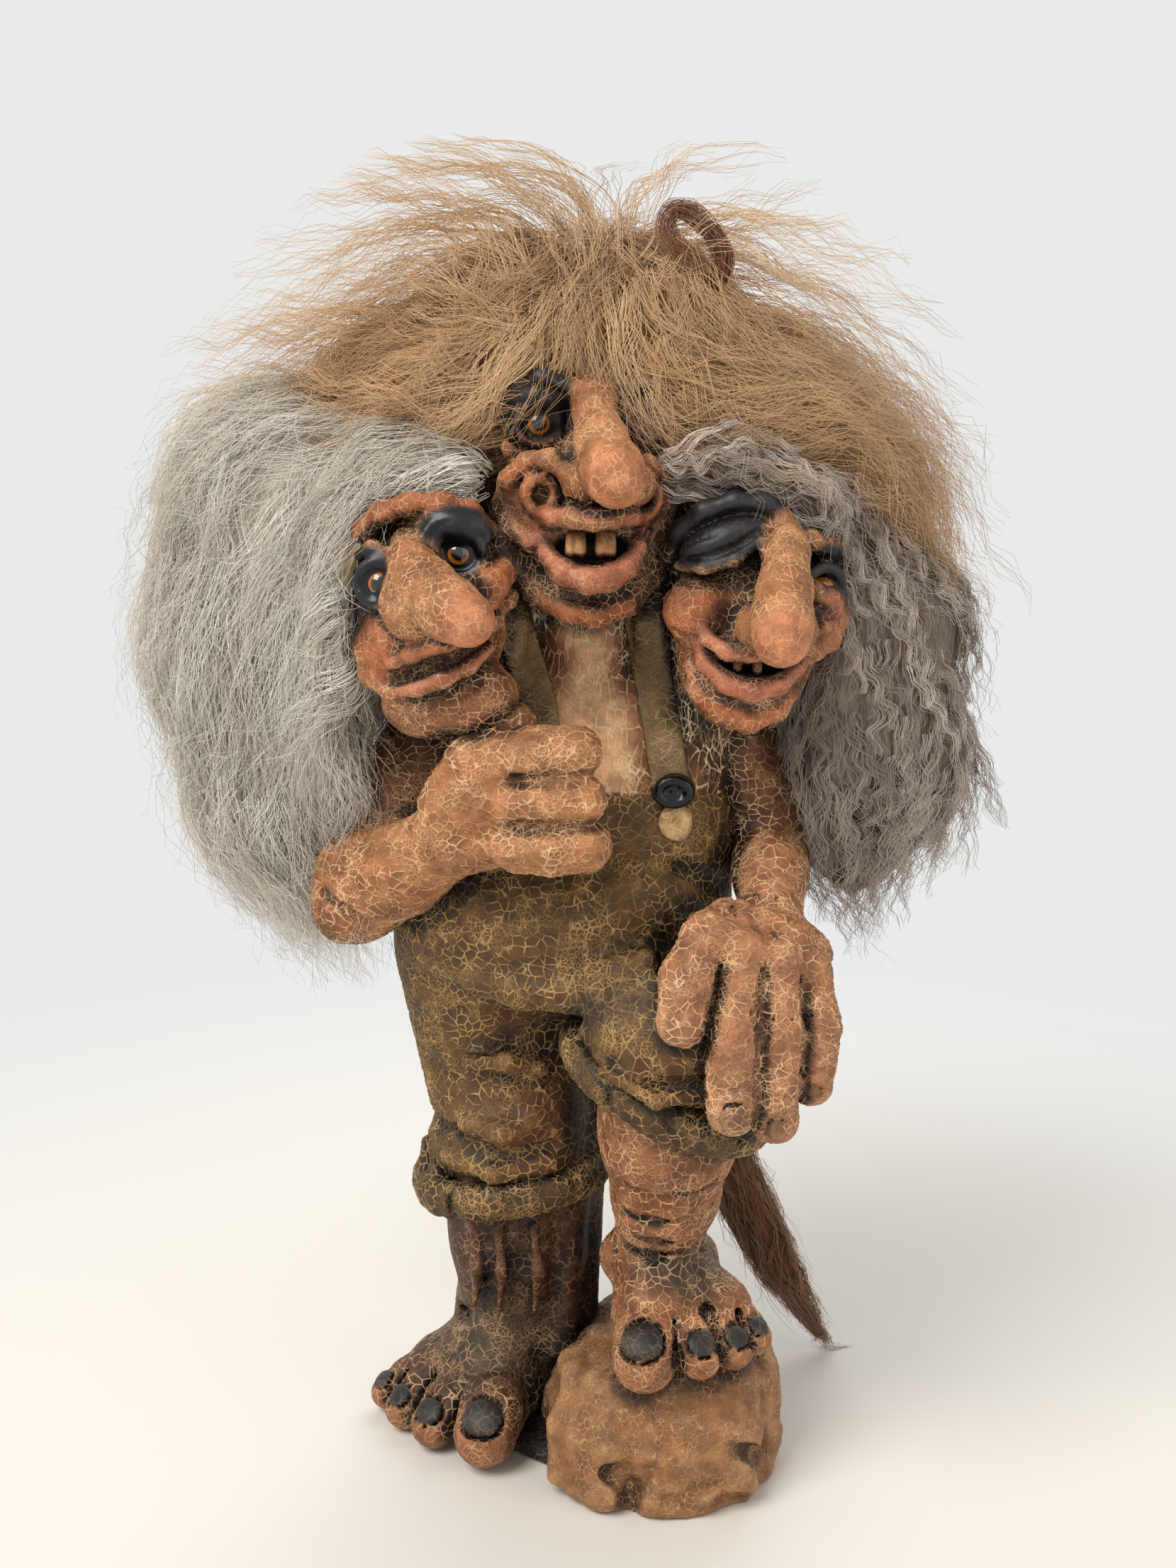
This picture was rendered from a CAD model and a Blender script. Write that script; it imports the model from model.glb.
# %% [markdown]
# # A three-headed folk troll, sculpted in code
#
# The figure is moulded latex with crackled paint, glass eyes and wool wigs. The solids of the
# construction model are loaded first, and everything below is laid over them in the same place.

import math

import bpy
import numpy as np
import openvdb
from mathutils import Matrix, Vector


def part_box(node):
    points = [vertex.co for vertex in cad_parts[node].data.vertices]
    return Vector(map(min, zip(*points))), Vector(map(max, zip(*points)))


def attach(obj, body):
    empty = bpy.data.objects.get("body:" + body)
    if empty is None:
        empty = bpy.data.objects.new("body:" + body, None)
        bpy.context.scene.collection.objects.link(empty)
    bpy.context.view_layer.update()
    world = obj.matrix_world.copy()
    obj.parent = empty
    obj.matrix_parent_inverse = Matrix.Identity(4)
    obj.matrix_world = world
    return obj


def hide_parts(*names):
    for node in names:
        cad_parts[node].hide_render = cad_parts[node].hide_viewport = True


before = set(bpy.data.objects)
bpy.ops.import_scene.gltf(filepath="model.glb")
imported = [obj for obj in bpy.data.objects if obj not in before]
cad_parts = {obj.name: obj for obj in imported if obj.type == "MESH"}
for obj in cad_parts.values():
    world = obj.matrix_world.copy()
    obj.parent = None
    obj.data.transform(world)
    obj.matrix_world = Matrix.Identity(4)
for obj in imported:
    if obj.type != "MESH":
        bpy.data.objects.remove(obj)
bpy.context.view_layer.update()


# %% [markdown]
# Sculpting is easier in millimetres, so every stroke below is in millimetres from the frame's
# origin, and one number turns it into Blender's metres. A node's box tells where a part sits, so
# the sculpted heads, hands and feet follow the construction model.

# %% Units and places
metre = 0.001
random = np.random.default_rng(7)


def node_middle(node):
    low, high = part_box(node)
    return (np.array(low) + np.array(high)) / 2 / metre


def node_low(node):
    return np.array(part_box(node)[0]) / metre


def node_high(node):
    return np.array(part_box(node)[1]) / metre


def srgb(red, green, blue):
    # A colour as it is seen, from 0 to 255, turned into the linear light that shaders use
    seen = np.array([red, green, blue]) / 255
    return np.where(seen <= 0.04045, seen / 12.92, ((seen + 0.055) / 1.055) ** 2.4)


print("middle of the tall head, mm:", node_middle("middle_head_foam").round(1))

# %% [markdown]
# Clay is built up from simple strokes. A rod is a tapering roll, an egg is a stretched ball, and
# each stroke melts into the clay before it over a short blend. A hollow and a groove are the same
# strokes, carved out instead of added.

# %% Clay strokes
def rod(start, end, width, end_width=None, blend=3.0, carve=False):
    start, end = np.array(start, float), np.array(end, float)
    end_width = width if end_width is None else end_width
    reach = max(width, end_width)
    low, high = np.minimum(start, end) - reach, np.maximum(start, end) + reach
    return {"kind": "rod", "a": start, "b": end, "ra": width, "rb": end_width, "blend": blend,
            "carve": carve, "low": low, "high": high}


def egg(middle, radii, blend=4.0, turn=(0, 0, 0), carve=False):
    middle, radii = np.array(middle, float), np.array(radii, float)
    ax, ay, az = (math.radians(angle) for angle in turn)
    around_x = np.array([[1, 0, 0], [0, math.cos(ax), -math.sin(ax)], [0, math.sin(ax), math.cos(ax)]])
    around_y = np.array([[math.cos(ay), 0, math.sin(ay)], [0, 1, 0], [-math.sin(ay), 0, math.cos(ay)]])
    around_z = np.array([[math.cos(az), -math.sin(az), 0], [math.sin(az), math.cos(az), 0], [0, 0, 1]])
    spin = around_z @ around_y @ around_x
    reach = np.sqrt(((spin * radii) ** 2).sum(axis=1))
    return {"kind": "egg", "a": middle, "radii": radii, "spin": spin, "blend": blend,
            "carve": carve, "low": middle - reach, "high": middle + reach}


def hollow(middle, radii, blend=4.0, turn=(0, 0, 0)):
    return egg(middle, radii, blend, turn, carve=True)


def roll(points, widths, blend=3.0, carve=False):
    # A bent roll through several points, with a width at each
    if np.isscalar(widths):
        widths = [widths] * len(points)
    return [rod(points[i], points[i + 1], widths[i], widths[i + 1], blend, carve)
            for i in range(len(points) - 1)]


def groove(points, widths, blend=3.0):
    return roll(points, widths, blend, carve=True)


print("strokes in a bent roll:", len(roll([(0, 0, 0), (0, 0, 9), (0, 5, 12)], 3)))

# %% [markdown]
# All strokes of a piece are added up as distances on a grid, and the surface is drawn where the
# distance is zero. It is quick, it never tears, and it gives the soft joins of a modelled figure.
# Two strokes melt together where their distances are nearly the same.

# %% Distances to clay
def stroke_distance(stroke, x, y, z):
    ax, ay, az = stroke["a"]
    if stroke["kind"] == "rod":
        along = stroke["b"] - stroke["a"]
        length = max(float(along @ along), 1e-6)
        t = ((x - ax) * along[0] + (y - ay) * along[1] + (z - az) * along[2]) / length
        t = np.clip(t, 0, 1)
        away = np.sqrt((x - ax - t * along[0]) ** 2 + (y - ay - t * along[1]) ** 2
                       + (z - az - t * along[2]) ** 2)
        return away - (stroke["ra"] + t * (stroke["rb"] - stroke["ra"]))
    spin = stroke["spin"]
    local = [(x - ax) * spin[0][i] + (y - ay) * spin[1][i] + (z - az) * spin[2][i] for i in range(3)]
    near = np.sqrt(sum((local[i] / stroke["radii"][i]) ** 2 for i in range(3)))
    slope = np.sqrt(sum((local[i] / stroke["radii"][i] ** 2) ** 2 for i in range(3)))
    return near * (near - 1) / np.maximum(slope, 1e-6)


def add_strokes(field, origin, step, strokes, margin):
    for stroke in strokes:
        spread = stroke["blend"] + margin
        low = np.maximum(((stroke["low"] - spread - origin) / step).astype(int), 0)
        high = np.minimum(((stroke["high"] + spread - origin) / step).astype(int) + 2, field.shape)
        if (high <= low).any():
            continue
        window = tuple(slice(low[i], high[i]) for i in range(3))
        x = (origin[0] + step * np.arange(low[0], high[0], dtype=np.float32))[:, None, None]
        y = (origin[1] + step * np.arange(low[1], high[1], dtype=np.float32))[None, :, None]
        z = (origin[2] + step * np.arange(low[2], high[2], dtype=np.float32))[None, None, :]
        distance = stroke_distance(stroke, x, y, z)
        old = field[window]
        blend = max(stroke["blend"], 1e-3)
        if stroke["carve"]:
            melt = np.maximum(blend - np.abs(old + distance), 0) / blend
            field[window] = np.maximum(old, -distance) + melt * melt * blend / 4
        else:
            melt = np.maximum(blend - np.abs(old - distance), 0) / blend
            field[window] = np.minimum(old, distance) - melt * melt * blend / 4
    return field


def room_of(strokes, margin):
    # The box that the added strokes fill, with a margin round it
    added = [stroke for stroke in strokes if not stroke["carve"]]
    low = np.min([stroke["low"] for stroke in added], axis=0) - margin
    high = np.max([stroke["high"] for stroke in added], axis=0) + margin
    return low, high


low, high = room_of([egg((0, 0, 0), (5, 5, 9))], 1)
print("room for a small egg, mm:", high - low)

# %% [markdown]
# The zero surface comes out of OpenVDB as an even skin of small quads. One level of subdivision
# rounds it, and then each point can be pushed and painted on its own.

# %% From clay to mesh
far_off = 12.0


def field_mesh(name, field, low, step):
    grid = openvdb.FloatGrid(far_off)
    grid.copyFromArray(np.ascontiguousarray(field))
    points, triangles, quads = grid.convertToPolygons(isovalue=0.0, adaptivity=0.0)
    mesh = bpy.data.meshes.new(name)
    corners = ((points * step + low) * metre).tolist()
    mesh.from_pydata(corners, [], quads.tolist() + triangles.tolist())
    mesh.update()
    return mesh


def clay_mesh(name, strokes, step, floor=None):
    low, high = room_of(strokes, 4 * step)
    shape = tuple(np.ceil((high - low) / step).astype(int))
    field = np.full(shape, far_off, dtype=np.float32)
    add_strokes(field, low, step, strokes, 3 * step)
    if floor is not None:
        z = (low[2] + step * np.arange(shape[2], dtype=np.float32))[None, None, :]
        field = np.maximum(field, floor - z)
    return field_mesh(name, field, low, step)


def add_piece(name, mesh):
    piece = bpy.data.objects.new(name, mesh)
    bpy.context.scene.collection.objects.link(piece)
    return piece


def made_real(piece):
    # What the modifiers show becomes the piece's own smooth mesh
    seen = bpy.context.evaluated_depsgraph_get()
    mesh = bpy.data.meshes.new_from_object(piece.evaluated_get(seen))
    piece.modifiers.clear()
    old = piece.data
    piece.data = mesh
    bpy.data.meshes.remove(old)
    mesh.name = piece.name
    mesh.polygons.foreach_set("use_smooth", np.ones(len(mesh.polygons), dtype=bool))
    return mesh


def rounded(piece):
    piece.modifiers.new("rounding", "SUBSURF").levels = 1
    return made_real(piece)


def numbers(collection, key, width, kind=float):
    flat = np.empty(len(collection) * width, dtype=kind)
    collection.foreach_get(key, flat)
    return flat.reshape(-1, width)


def surface(mesh):
    # The points in millimetres, and the normals
    return numbers(mesh.vertices, "co", 3) / metre, numbers(mesh.vertex_normals, "vector", 3)


print("strokes can become a mesh")

# %% [markdown]
# The legs are bare from the rolled hems down. A foot is a heel, an instep and four fat toes, each
# with a wide worn nail. A nail is a shallow bed scooped out of the toe with a flat plate in it, so
# that it catches light along its rim.

# %% Toes and nails
def nail(middle, radii, turn):
    middle = np.array(middle, float)
    bed = hollow(middle, np.array(radii) * 1.18, 1.2, turn)
    plate = egg(middle, np.array(radii) * (1, 1, 0.72), 0.8, turn)
    return [bed, plate]


def toe(root, tip, width, knuckle_rise=2.0):
    root, tip = np.array(root, float), np.array(tip, float)
    middle = root * 0.45 + tip * 0.55 + (0, 0, knuckle_rise)
    return roll([root, middle, tip], [width * 0.92, width * 1.02, width * 0.98], 3.0)


standing_toes = [
    ((-33, -12, 21), (-38.5, -38, 15.5), 13.6), ((-49, -5, 19), (-61.5, -23, 11.5), 10.2),
    ((-58, 5, 17), (-75.5, -7, 10), 9.3), ((-63, 16, 16), (-85, 9, 9), 8.2),
]
raised_toes = [
    ((31, -52, 70), (27.5, -68, 65.5), 13.2), ((45.5, -51, 70), (49.5, -66, 66), 9.4),
    ((56.5, -48, 70), (63.5, -60, 66), 8.6), ((64, -43, 70), (73, -52, 67), 7.6),
]
foot_nails = []


def toe_nail(root, tip, width):
    # The plate lies on the front of the toe's top and looks the way that the toe does
    root, tip = np.array(root, float), np.array(tip, float)
    ahead = (tip - root) * (1, 1, 0)
    ahead = ahead / np.linalg.norm(ahead)
    heading = math.degrees(math.atan2(ahead[1], ahead[0])) + 90
    middle = tip + ahead * width * 0.30 + (0, 0, width * 0.70)
    radii = (width * 0.66, width * 0.62, width * 0.30)
    foot_nails.append(egg(middle, np.array(radii) * (1.0, 1.0, 1.25), turn=(40, 0, heading)))
    return nail(middle, radii, (40, 0, heading))


def toe_gap(first, second, root_shift, tip_shift):
    # The cleft between two toes, from the instep down to the tips
    root = (np.array(first[0]) + second[0]) / 2 + root_shift
    tip = (np.array(first[1]) + second[1]) / 2 + tip_shift
    middle = root * 0.5 + tip * 0.5 + (0, 0, 2.5)
    return groove([root, middle, tip], [1.0, 2.0, 2.4], 4.5)


print("toes:", len(standing_toes) + len(raised_toes))

# %% [markdown]
# The standing leg is one thick column that flares into a broad foot. Tendons run from the ankle to
# the toes, and shallow creases cross the shin.

# %% Standing leg
leg = roll([(-27, 5, 142), (-25.5, 5, 112), (-25, 8, 86), (-27, 12, 52)], [32, 32.5, 30.5, 25], 6)
leg += [
    rod((-16, 28, 21), (-35, -4, 21), 22, 19, 8), rod((-16, 28, 21), (-60, 11, 17), 21, 16, 8),
    rod((-24, 12, 46), (-40, -2, 26), 22, 19, 8), rod((-24, 14, 44), (-54, 8, 22), 19, 16, 8),
    rod((-35, -4, 19), (-62, 12, 15), 18, 14, 7), egg((-13, 26, 40), (14, 16, 14), 8),
    egg((-42, 12, 52), (11, 10, 10), 7), egg((-6, 10, 50), (9, 9, 9), 6),
    rod((3, 9, 118), (1, 8, 40), 9, 8, 8), rod((-2, -12, 112), (-6, -8, 40), 5, 6, 7),
]
for x, y in ((-44, -24), (-33, -29), (-18, -30)):
    leg += roll([(x, y, 104), (x + 2, y + 2, 84), (x, y + 8, 62)], [1.4, 2.2, 1.2], 5)
leg += groove([(-26, -28, 104), (-25, -25, 84), (-28, -18, 60)], [1.6, 2.4, 1.6], 5)
leg += groove([(-8, -24, 106), (-8, -20, 84), (-10, -14, 62)], [1.6, 2.4, 1.6], 5)
for root, tip, width in standing_toes:
    leg += toe(root, tip, width)
for i in range(3):
    leg += toe_gap(standing_toes[i], standing_toes[i + 1], (6, 9, 15), (0, 0, 2))
    tendon_root = np.array((-26, 8, 52)) + (-3 * i, 2 * i, -2 * i)
    leg.append(rod(tendon_root, np.array(standing_toes[i][0]) + (0, 2, 12), 2.6, 3.4, 5))
for height in (66, 74, 83, 101):
    sway = 3 * math.sin(height)
    leg += groove([(-51, -1, height), (-36, -18 + sway, height + 3), (-16, -18, height - 2)], 0.7, 3.5)
leg += groove([(-44, -12, 56), (-50, 2, 50), (-48, 16, 52)], 1.2, 5)
for root, tip, width in standing_toes:
    leg += toe_nail(root, tip, width)
standing_leg = leg
print("strokes in the standing leg:", len(standing_leg))

# %% [markdown]
# The raised leg is seen from the front, so its toes point at the viewer. The bent ankle folds the
# skin into deep rings above the instep.

# %% Raised leg
leg = roll([(36.5, -48, 180), (37.5, -46, 152), (37, -37, 124), (35, -27, 96)], [28.5, 27, 21.5, 17.5], 6)
leg += [
    rod((35, -7, 74), (33, -44, 74), 19, 17, 7), rod((35, -7, 74), (57, -41, 73), 17, 15, 7),
    rod((34, -25, 92), (34, -45, 78), 18, 15, 7), rod((36, -25, 90), (54, -42, 76), 15, 12, 7),
    rod((33, -46, 71), (58, -42, 71), 15.5, 13.5, 7), egg((53, -20, 88), (7, 8, 8), 6),
    egg((17, -22, 88), (7, 8, 9), 6),
]
for root, tip, width in raised_toes:
    leg += toe(root, tip, width, 1)
for i in range(3):
    leg += toe_gap(raised_toes[i], raised_toes[i + 1], (-2, 9, 15), (0, -3, 1))
    knuckle = np.array(raised_toes[i][0]) + (0, 2, 12)
    leg.append(rod((34 + 4 * i, -30, 104 - 4 * i), knuckle, 2.4, 3.4, 5))
for height, depth in ((96, -44), (103, -49), (111, -55), (122, -60), (136, -71)):
    crease = [(16, depth + 14, height), (32, depth + 2, height - 3), (54, depth + 10, height + 2)]
    leg += groove(crease, [1, 1.6, 1], 4.5)
for root, tip, width in raised_toes:
    leg += toe_nail(root, tip, width)
raised_leg = leg
print("strokes in the raised leg:", len(raised_leg))

# %% [markdown]
# The raised foot stands on a boulder, and a dark web of latex joins the boulder to the other foot.
# The boulder is a heap of blunt lumps with hollows pressed between them.

# %% Boulder and web
boulder = [
    egg((36, -20, 22), (46, 54, 33), 6), egg((20, -46, 20), (27, 28, 27), 7, (0, 0, 20)),
    egg((54, -50, 20), (27, 25, 28), 7, (0, 0, -20)), egg((66, -18, 26), (22, 32, 31), 7),
    egg((2, -26, 14), (15, 22, 20), 7, (0, 0, 30)), egg((36, 12, 20), (40, 26, 30), 8),
    rod((20, -54, 40), (60, -48, 43), 12, 13, 7), rod((62, -46, 44), (70, -10, 45), 12, 12, 7),
    egg((72, 2, 12), (14, 26, 18), 6), egg((38, -60, 9), (34, 19, 14), 6),
    rod((10, -50, 34), (4, -26, 30), 9, 10, 6), egg((77, -34, 34), (9, 14, 20), 5),
    rod((18, 10, 40), (54, 12, 40), 12, 12, 8),
]
boulder += groove([(16, -78, 38), (24, -76, 24), (20, -73, 6)], [3, 4, 4], 7)
boulder += groove([(44, -80, 34), (52, -78, 20), (46, -80, 8)], [2.5, 3, 3], 7)
boulder += groove([(88, -44, 30), (81, -56, 16), (86, -42, 4)], [3, 3, 3], 6)
boulder += groove([(-4, -48, 22), (5, -62, 12)], 3, 6)
boulder += groove([(28, -80, 30), (36, -82, 25), (46, -80, 29)], 1.8, 5)
boulder += groove([(62, -74, 30), (70, -66, 24), (75, -60, 12)], 2.2, 5)
boulder += groove([(10, -70, 20), (26, -80, 16), (40, -80, 20), (60, -76, 14)], 1.4, 6)
boulder += [
    egg((2, -30, 43), (10, 13, 7.5), 6), rod((8, -14, 43), (14, -44, 43), 8),
    rod((14, -44, 44), (52, -48, 45), 8), rod((36, 4, 45), (36, -40, 47), 20, 20, 8),
]
for x in (-3, 6, 14):
    boulder += roll(
        [(x + 2, -46 - x, 46), (x - 2, -56 - 0.8 * x, 28), (x - 3, -58 - 0.8 * x, 8)], [4, 5.5, 6], 7)
lump_spots = np.random.default_rng(11)
for i in range(170):
    around, up = (lump_spots.uniform(0, 2 * math.pi), lump_spots.uniform(0, 0.92))
    dent = i % 3 == 0 and up < 0.45
    out = (1 - up ** 3) ** 0.5 * (1.12 if dent else 1)
    middle = np.array((37 + math.cos(around) * 47 * out, -20 + math.sin(around) * 54 * out, up * 52))
    size = lump_spots.uniform(5, 9)
    radii = np.array(
        (size * 0.6, size * lump_spots.uniform(0.7, 1.3), size * lump_spots.uniform(0.6, 1.2)))
    boulder.append(egg(middle, radii, 3, (0, 0, math.degrees(around)), carve=dent))
web = [
    egg((-12, -2, 1), (30, 26, 8), 5), egg((-6, -24, 1), (15, 14, 6), 6),
    egg((-4, 22, 2), (20, 15, 8), 6), rod((-30, -18, 2), (-8, -34, 2), 5, 4, 6),
    rod((-20, 10, 6), (4, -4, 10), 6, 9, 7),
]
print("strokes in the boulder:", len(boulder))

# %% [markdown]
# The trousers are one moulding: a seat and a heavy belly over two wide legs. The belly hangs over
# the raised thigh in a deep fold, and folds fan out from the crotch and over the standing knee.

# %% Trousers and rolled hems
trousers = [
    rod((-25, 0, 240), (15, 0, 240), 50.5, blend=8), rod((-34, -16, 236), (6, -22, 238), 37, 39, 12),
    egg((17, -27, 248), (34, 35, 29), 12), rod((-14, -2, 276), (24, -2, 276), 44.5, 44, 10),
    rod((-35, 6, 215), (-27, 4, 150), 42, 36, 10), egg((-27.5, 3, 130), (38, 37.5, 18), 5),
    rod((20, 0, 220), (36, -44, 203), 38, 33, 5), egg((37, -54, 200), (36, 34, 29), 8),
    egg((36.5, -50, 188), (36, 35, 17), 5, (0, 22, 0)), egg((-24, -20, 150), (26, 19, 28), 9),
    egg((36, -74, 193), (26, 17, 20), 9), egg((-22, 30, 236), (34, 24, 34), 9),
    egg((24, 30, 236), (32, 24, 34), 9), rod((8, -6, 190), (4, -4, 132), 9, 7, 7),
]
trouser_folds = [
    ([(-62, -32, 212), (-38, -50, 207), (-21, -53, 205), (-6, -53, 206), (4, -56, 209), (14, -61, 214),
      (25, -65, 219), (34, -64, 225), (42, -60, 235), (56, -50, 243)],
     [1.6, 2.6, 3.2, 3.4, 3.6, 3.8, 4, 4, 3.4, 2], 8),
    ([(1, -52, 204), (2, -48, 188), (6, -42, 168), (9, -38, 146), (11, -32, 122)],
     [3.4, 4.4, 4.6, 4.6, 4.2], 6), ([(-6, -44, 200), (-4, -40, 176), (-2, -38, 150)], [1.2, 2, 1.4], 5),
    ([(-16, -43, 198), (-13, -42, 180), (-14, -40, 160)], [1, 1.8, 1.2], 5),
    ([(-66, -6, 176), (-56, -26, 168), (-44, -34, 172)], 1.6, 6),
    ([(-50, -30, 168), (-38, -41, 163), (-22, -42, 166)], 2, 6),
    ([(-48, -31, 143), (-30, -41, 138), (-12, -35, 142)], 1.8, 6),
    ([(-46, -36, 200), (-48, -35, 180), (-45, -37, 160), (-46, -36, 140)], 1.2, 5),
    ([(6, -80, 196), (20, -93, 188), (40, -93, 186), (54, -86, 190)], 1.5, 6),
    ([(8, -78, 186), (24, -91, 179), (46, -88, 174)], 1.5, 6),
    ([(-62, 14, 150), (-58, -8, 142), (-46, -26, 146)], 1.4, 6),
    ([(-30, 50, 196), (0, 44, 190), (34, 42, 200)], 3, 8),
    ([(0, 52, 262), (-4, 54, 236), (-2, 50, 206)], 2.4, 8),
    ([(-60, 20, 206), (-40, 44, 200), (-20, 48, 204)], 1.4, 6),
    ([(40, -46, 262), (56, -34, 252), (64, -20, 250)], 2, 7),
]
for path, width, blend in trouser_folds:
    trousers += groove(path, width, blend)
trouser_rolls = [
    ([(-44, -36, 178), (-28, -42, 180), (-14, -37, 176)], 3, 6),
    ([(-46, -34, 152), (-30, -42, 150), (-16, -37, 154)], 3, 6),
    ([(-54, -24, 134), (-34, -39, 131), (-12, -34, 134)], 2.4, 6),
    ([(10, -86, 192), (30, -95, 183), (52, -88, 183)], 2.2, 5),
    ([(-40, -50, 215), (-20, -55, 213), (-4, -58, 214), (12, -64, 221), (26, -67, 229)],
     [3, 4.4, 4.6, 4.6, 3.4], 10),
]
for path, width, blend in trouser_rolls:
    trousers += roll(path, width, blend)
trousers += [hollow((-27, 4, 108), (33, 33, 14), 4), hollow((34, -50, 168), (31, 30, 14), 4, (0, 22, 0))]
print("strokes in the trousers:", len(trousers))

# %% [markdown]
# Each trouser leg ends in a hem that is rolled up twice. The roll is a closed hoop round an oval,
# with a little wobble, and short notches pleat it.

# %% Rolled hems
def hoop(middle, across, deep, rise, width, wobble):
    # A closed roll round an oval; the rise says how much it climbs to the right and to the back
    middle, turns = np.array(middle, float), 28
    points = []
    for i in range(turns + 1):
        angle = 2 * math.pi * i / turns
        swing = 1 + wobble * math.sin(3 * angle + middle[2])
        x, y = across * swing * math.cos(angle), deep * swing * math.sin(angle)
        points.append(middle + (x, y, rise[0] * x + rise[1] * y))
    return roll(points, width, 5)


def rolled_hem(middle, across, deep, rise):
    strokes = hoop(middle, across, deep, rise, 4.4, 0.02)
    strokes += hoop(np.array(middle) + (0, 0, 5.0), across + 0.8, deep + 0.8, rise, 4.6, 0.025)
    for angle in (0.3, 1.3, 2.3, 3.3, 4.1, 4.7, 5.4):
        x, y = math.cos(angle) * (across + 5.2), math.sin(angle) * (deep + 5.2)
        fold = np.array(middle) + (x, y, rise[0] * x + rise[1] * y)
        strokes.append(rod(fold + (1.5, 0, -3), fold + (-1, 0, 10), 0.8, 1.0, 3.5, carve=True))
    return strokes


standing_hem = rolled_hem((-27.5, 2.5, 115.5), 37.5, 37, (0.13, 0.0))
raised_hem = rolled_hem((36.5, -50, 174), 36, 34.5, (-0.41, 0.19))
standing_hem += [
    rod((-65, 0, 112), (-64, -2, 131), 4.6, 3.4, 5), rod((-58, -20, 112), (-61, -12, 130), 3.4, 2.2, 5),
]
print("strokes in the hems:", len(standing_hem) + len(raised_hem))

# %% [markdown]
# Over the trousers comes a bare chest with three necks. Sinews run down each neck, and thin folds
# part the breast.

# %% Chest and necks
chest = [
    rod((-15, -2, 301), (27, -2, 301), 41, blend=8), rod((-40, 2, 318), (50, 2, 317), 28, blend=10),
    rod((-10, -2, 282), (22, -2, 282), 40, blend=8), rod((4, -2, 330), (4, -10, 368), 30, 29, 8),
    rod((-32, -6, 325), (-54, -30, 346), 26, 24, 8), rod((42, -6, 325), (68, -25, 344), 25, 23, 8),
    egg((-12, -22, 318), (22, 18, 20), 9), egg((26, -22, 316), (20, 17, 20), 9),
    rod((-25, -20, 408), (-32, -26, 356), 13, 15, 9), rod((31, -17, 404), (40, -22, 346), 13, 14, 9),
]
for x, lean in ((-2, -1), (3, 0), (9, 1), (14, 1), (-8, -2), (20, 2)):
    chest += groove([(x, -42, 352), (x + lean, -45, 330), (x + 2 * lean, -46, 306)], 0.6, 3)
for x, y in ((27, -32), (34, -33), (41, -31), (-24, -35), (-31, -36)):
    chest += groove([(x, y, 384), (x + 3, y - 2, 362), (x + 2, y - 1, 340)], [1, 1.3, 0.8], 4)
    chest += roll([(x - 2, y - 2, 382), (x + 1, y - 5, 360), (x, y - 4, 344)], [1.2, 1.8, 1], 4)
chest += groove([(60, -22, 320), (66, -22, 296), (62, -24, 276)], 1.6, 5)
print("strokes in the chest:", len(chest))

# %% [markdown]
# The bent arm ends in a fist that holds a brace. Three fingers curl forward one over another, and
# the thumb lies on top.

# %% Bent arm and fist
arm = roll([(-53, -4, 316), (-70, -14, 286), (-84, -28, 256)], [21, 20, 20], 8)
arm += roll([(-86, -31, 249), (-67, -46, 261), (-49, -61, 276)], [19.5, 16, 15], 8)
arm += [
    egg((-93, -32, 240), (12, 13, 11), 8), egg((-34, -70, 290), (20, 17, 25), 8, (0, 20, 0)),
    rod((-44, -70, 286), (-24, -76, 306), 13, 13, 7),
]
fist_fingers = [
    ((-27, -79, 311), (0.5, -85, 313), 9.7), ((-24, -83, 294.5), (3, -88, 296), 9),
    ((-20, -80, 276.5), (4, -85, 278), 9.6),
]
for i, (root, tip, width) in enumerate(fist_fingers):
    middle = (np.array(root) + tip) / 2 + (0, -1.5, 0)
    arm += roll([root, middle, tip], [width * 0.98, width * 1.04, width], 3)
    arm += [rod((-40, -72, 302 - 12 * i), (-20, -86, 311 - 17 * i), 5, 6, 6)]
arm += roll([(-50, -64, 292), (-39, -74, 309), (-22, -72, 322)], [9, 8.6, 7.6], 4)
for height in (303.6, 287):
    arm += groove([(-22, -90, height), (-10, -95, height), (13, -95, height + 0.8)], [1.2, 1.9, 2.2], 3.5)
for root, tip, width in fist_fingers:
    x = tip[0] - 3
    arm.append(
        rod((x, tip[1] - width - 1, tip[2] + 6), (x + 0.5, tip[1] - width - 1, tip[2] - 6), 0.5, 0.5, 3,
         True))
    arm.append(
        rod((-14, tip[1] - width - 1.5, tip[2] + 5), (-15, tip[1] - width - 1.5, tip[2] - 5), 0.5, 0.5, 3,
         True))
for shift in (0, 6, 12):
    arm += groove(
        [(-56 + shift, -70, 296 - shift), (-50 + shift, -76, 284 - shift),
         (-50 + shift, -72, 268 - shift / 2)], 0.5, 3)
arm += groove([(-100, -44, 252), (-88, -50, 244), (-80, -48, 236)], 1, 4)
fist_arm = arm
print("strokes in the bent arm:", len(fist_arm))

# %% [markdown]
# The other arm ends in a huge hand that lies on the raised knee. Its fingers hang down the front of
# the knee, so their nails are seen.

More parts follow.
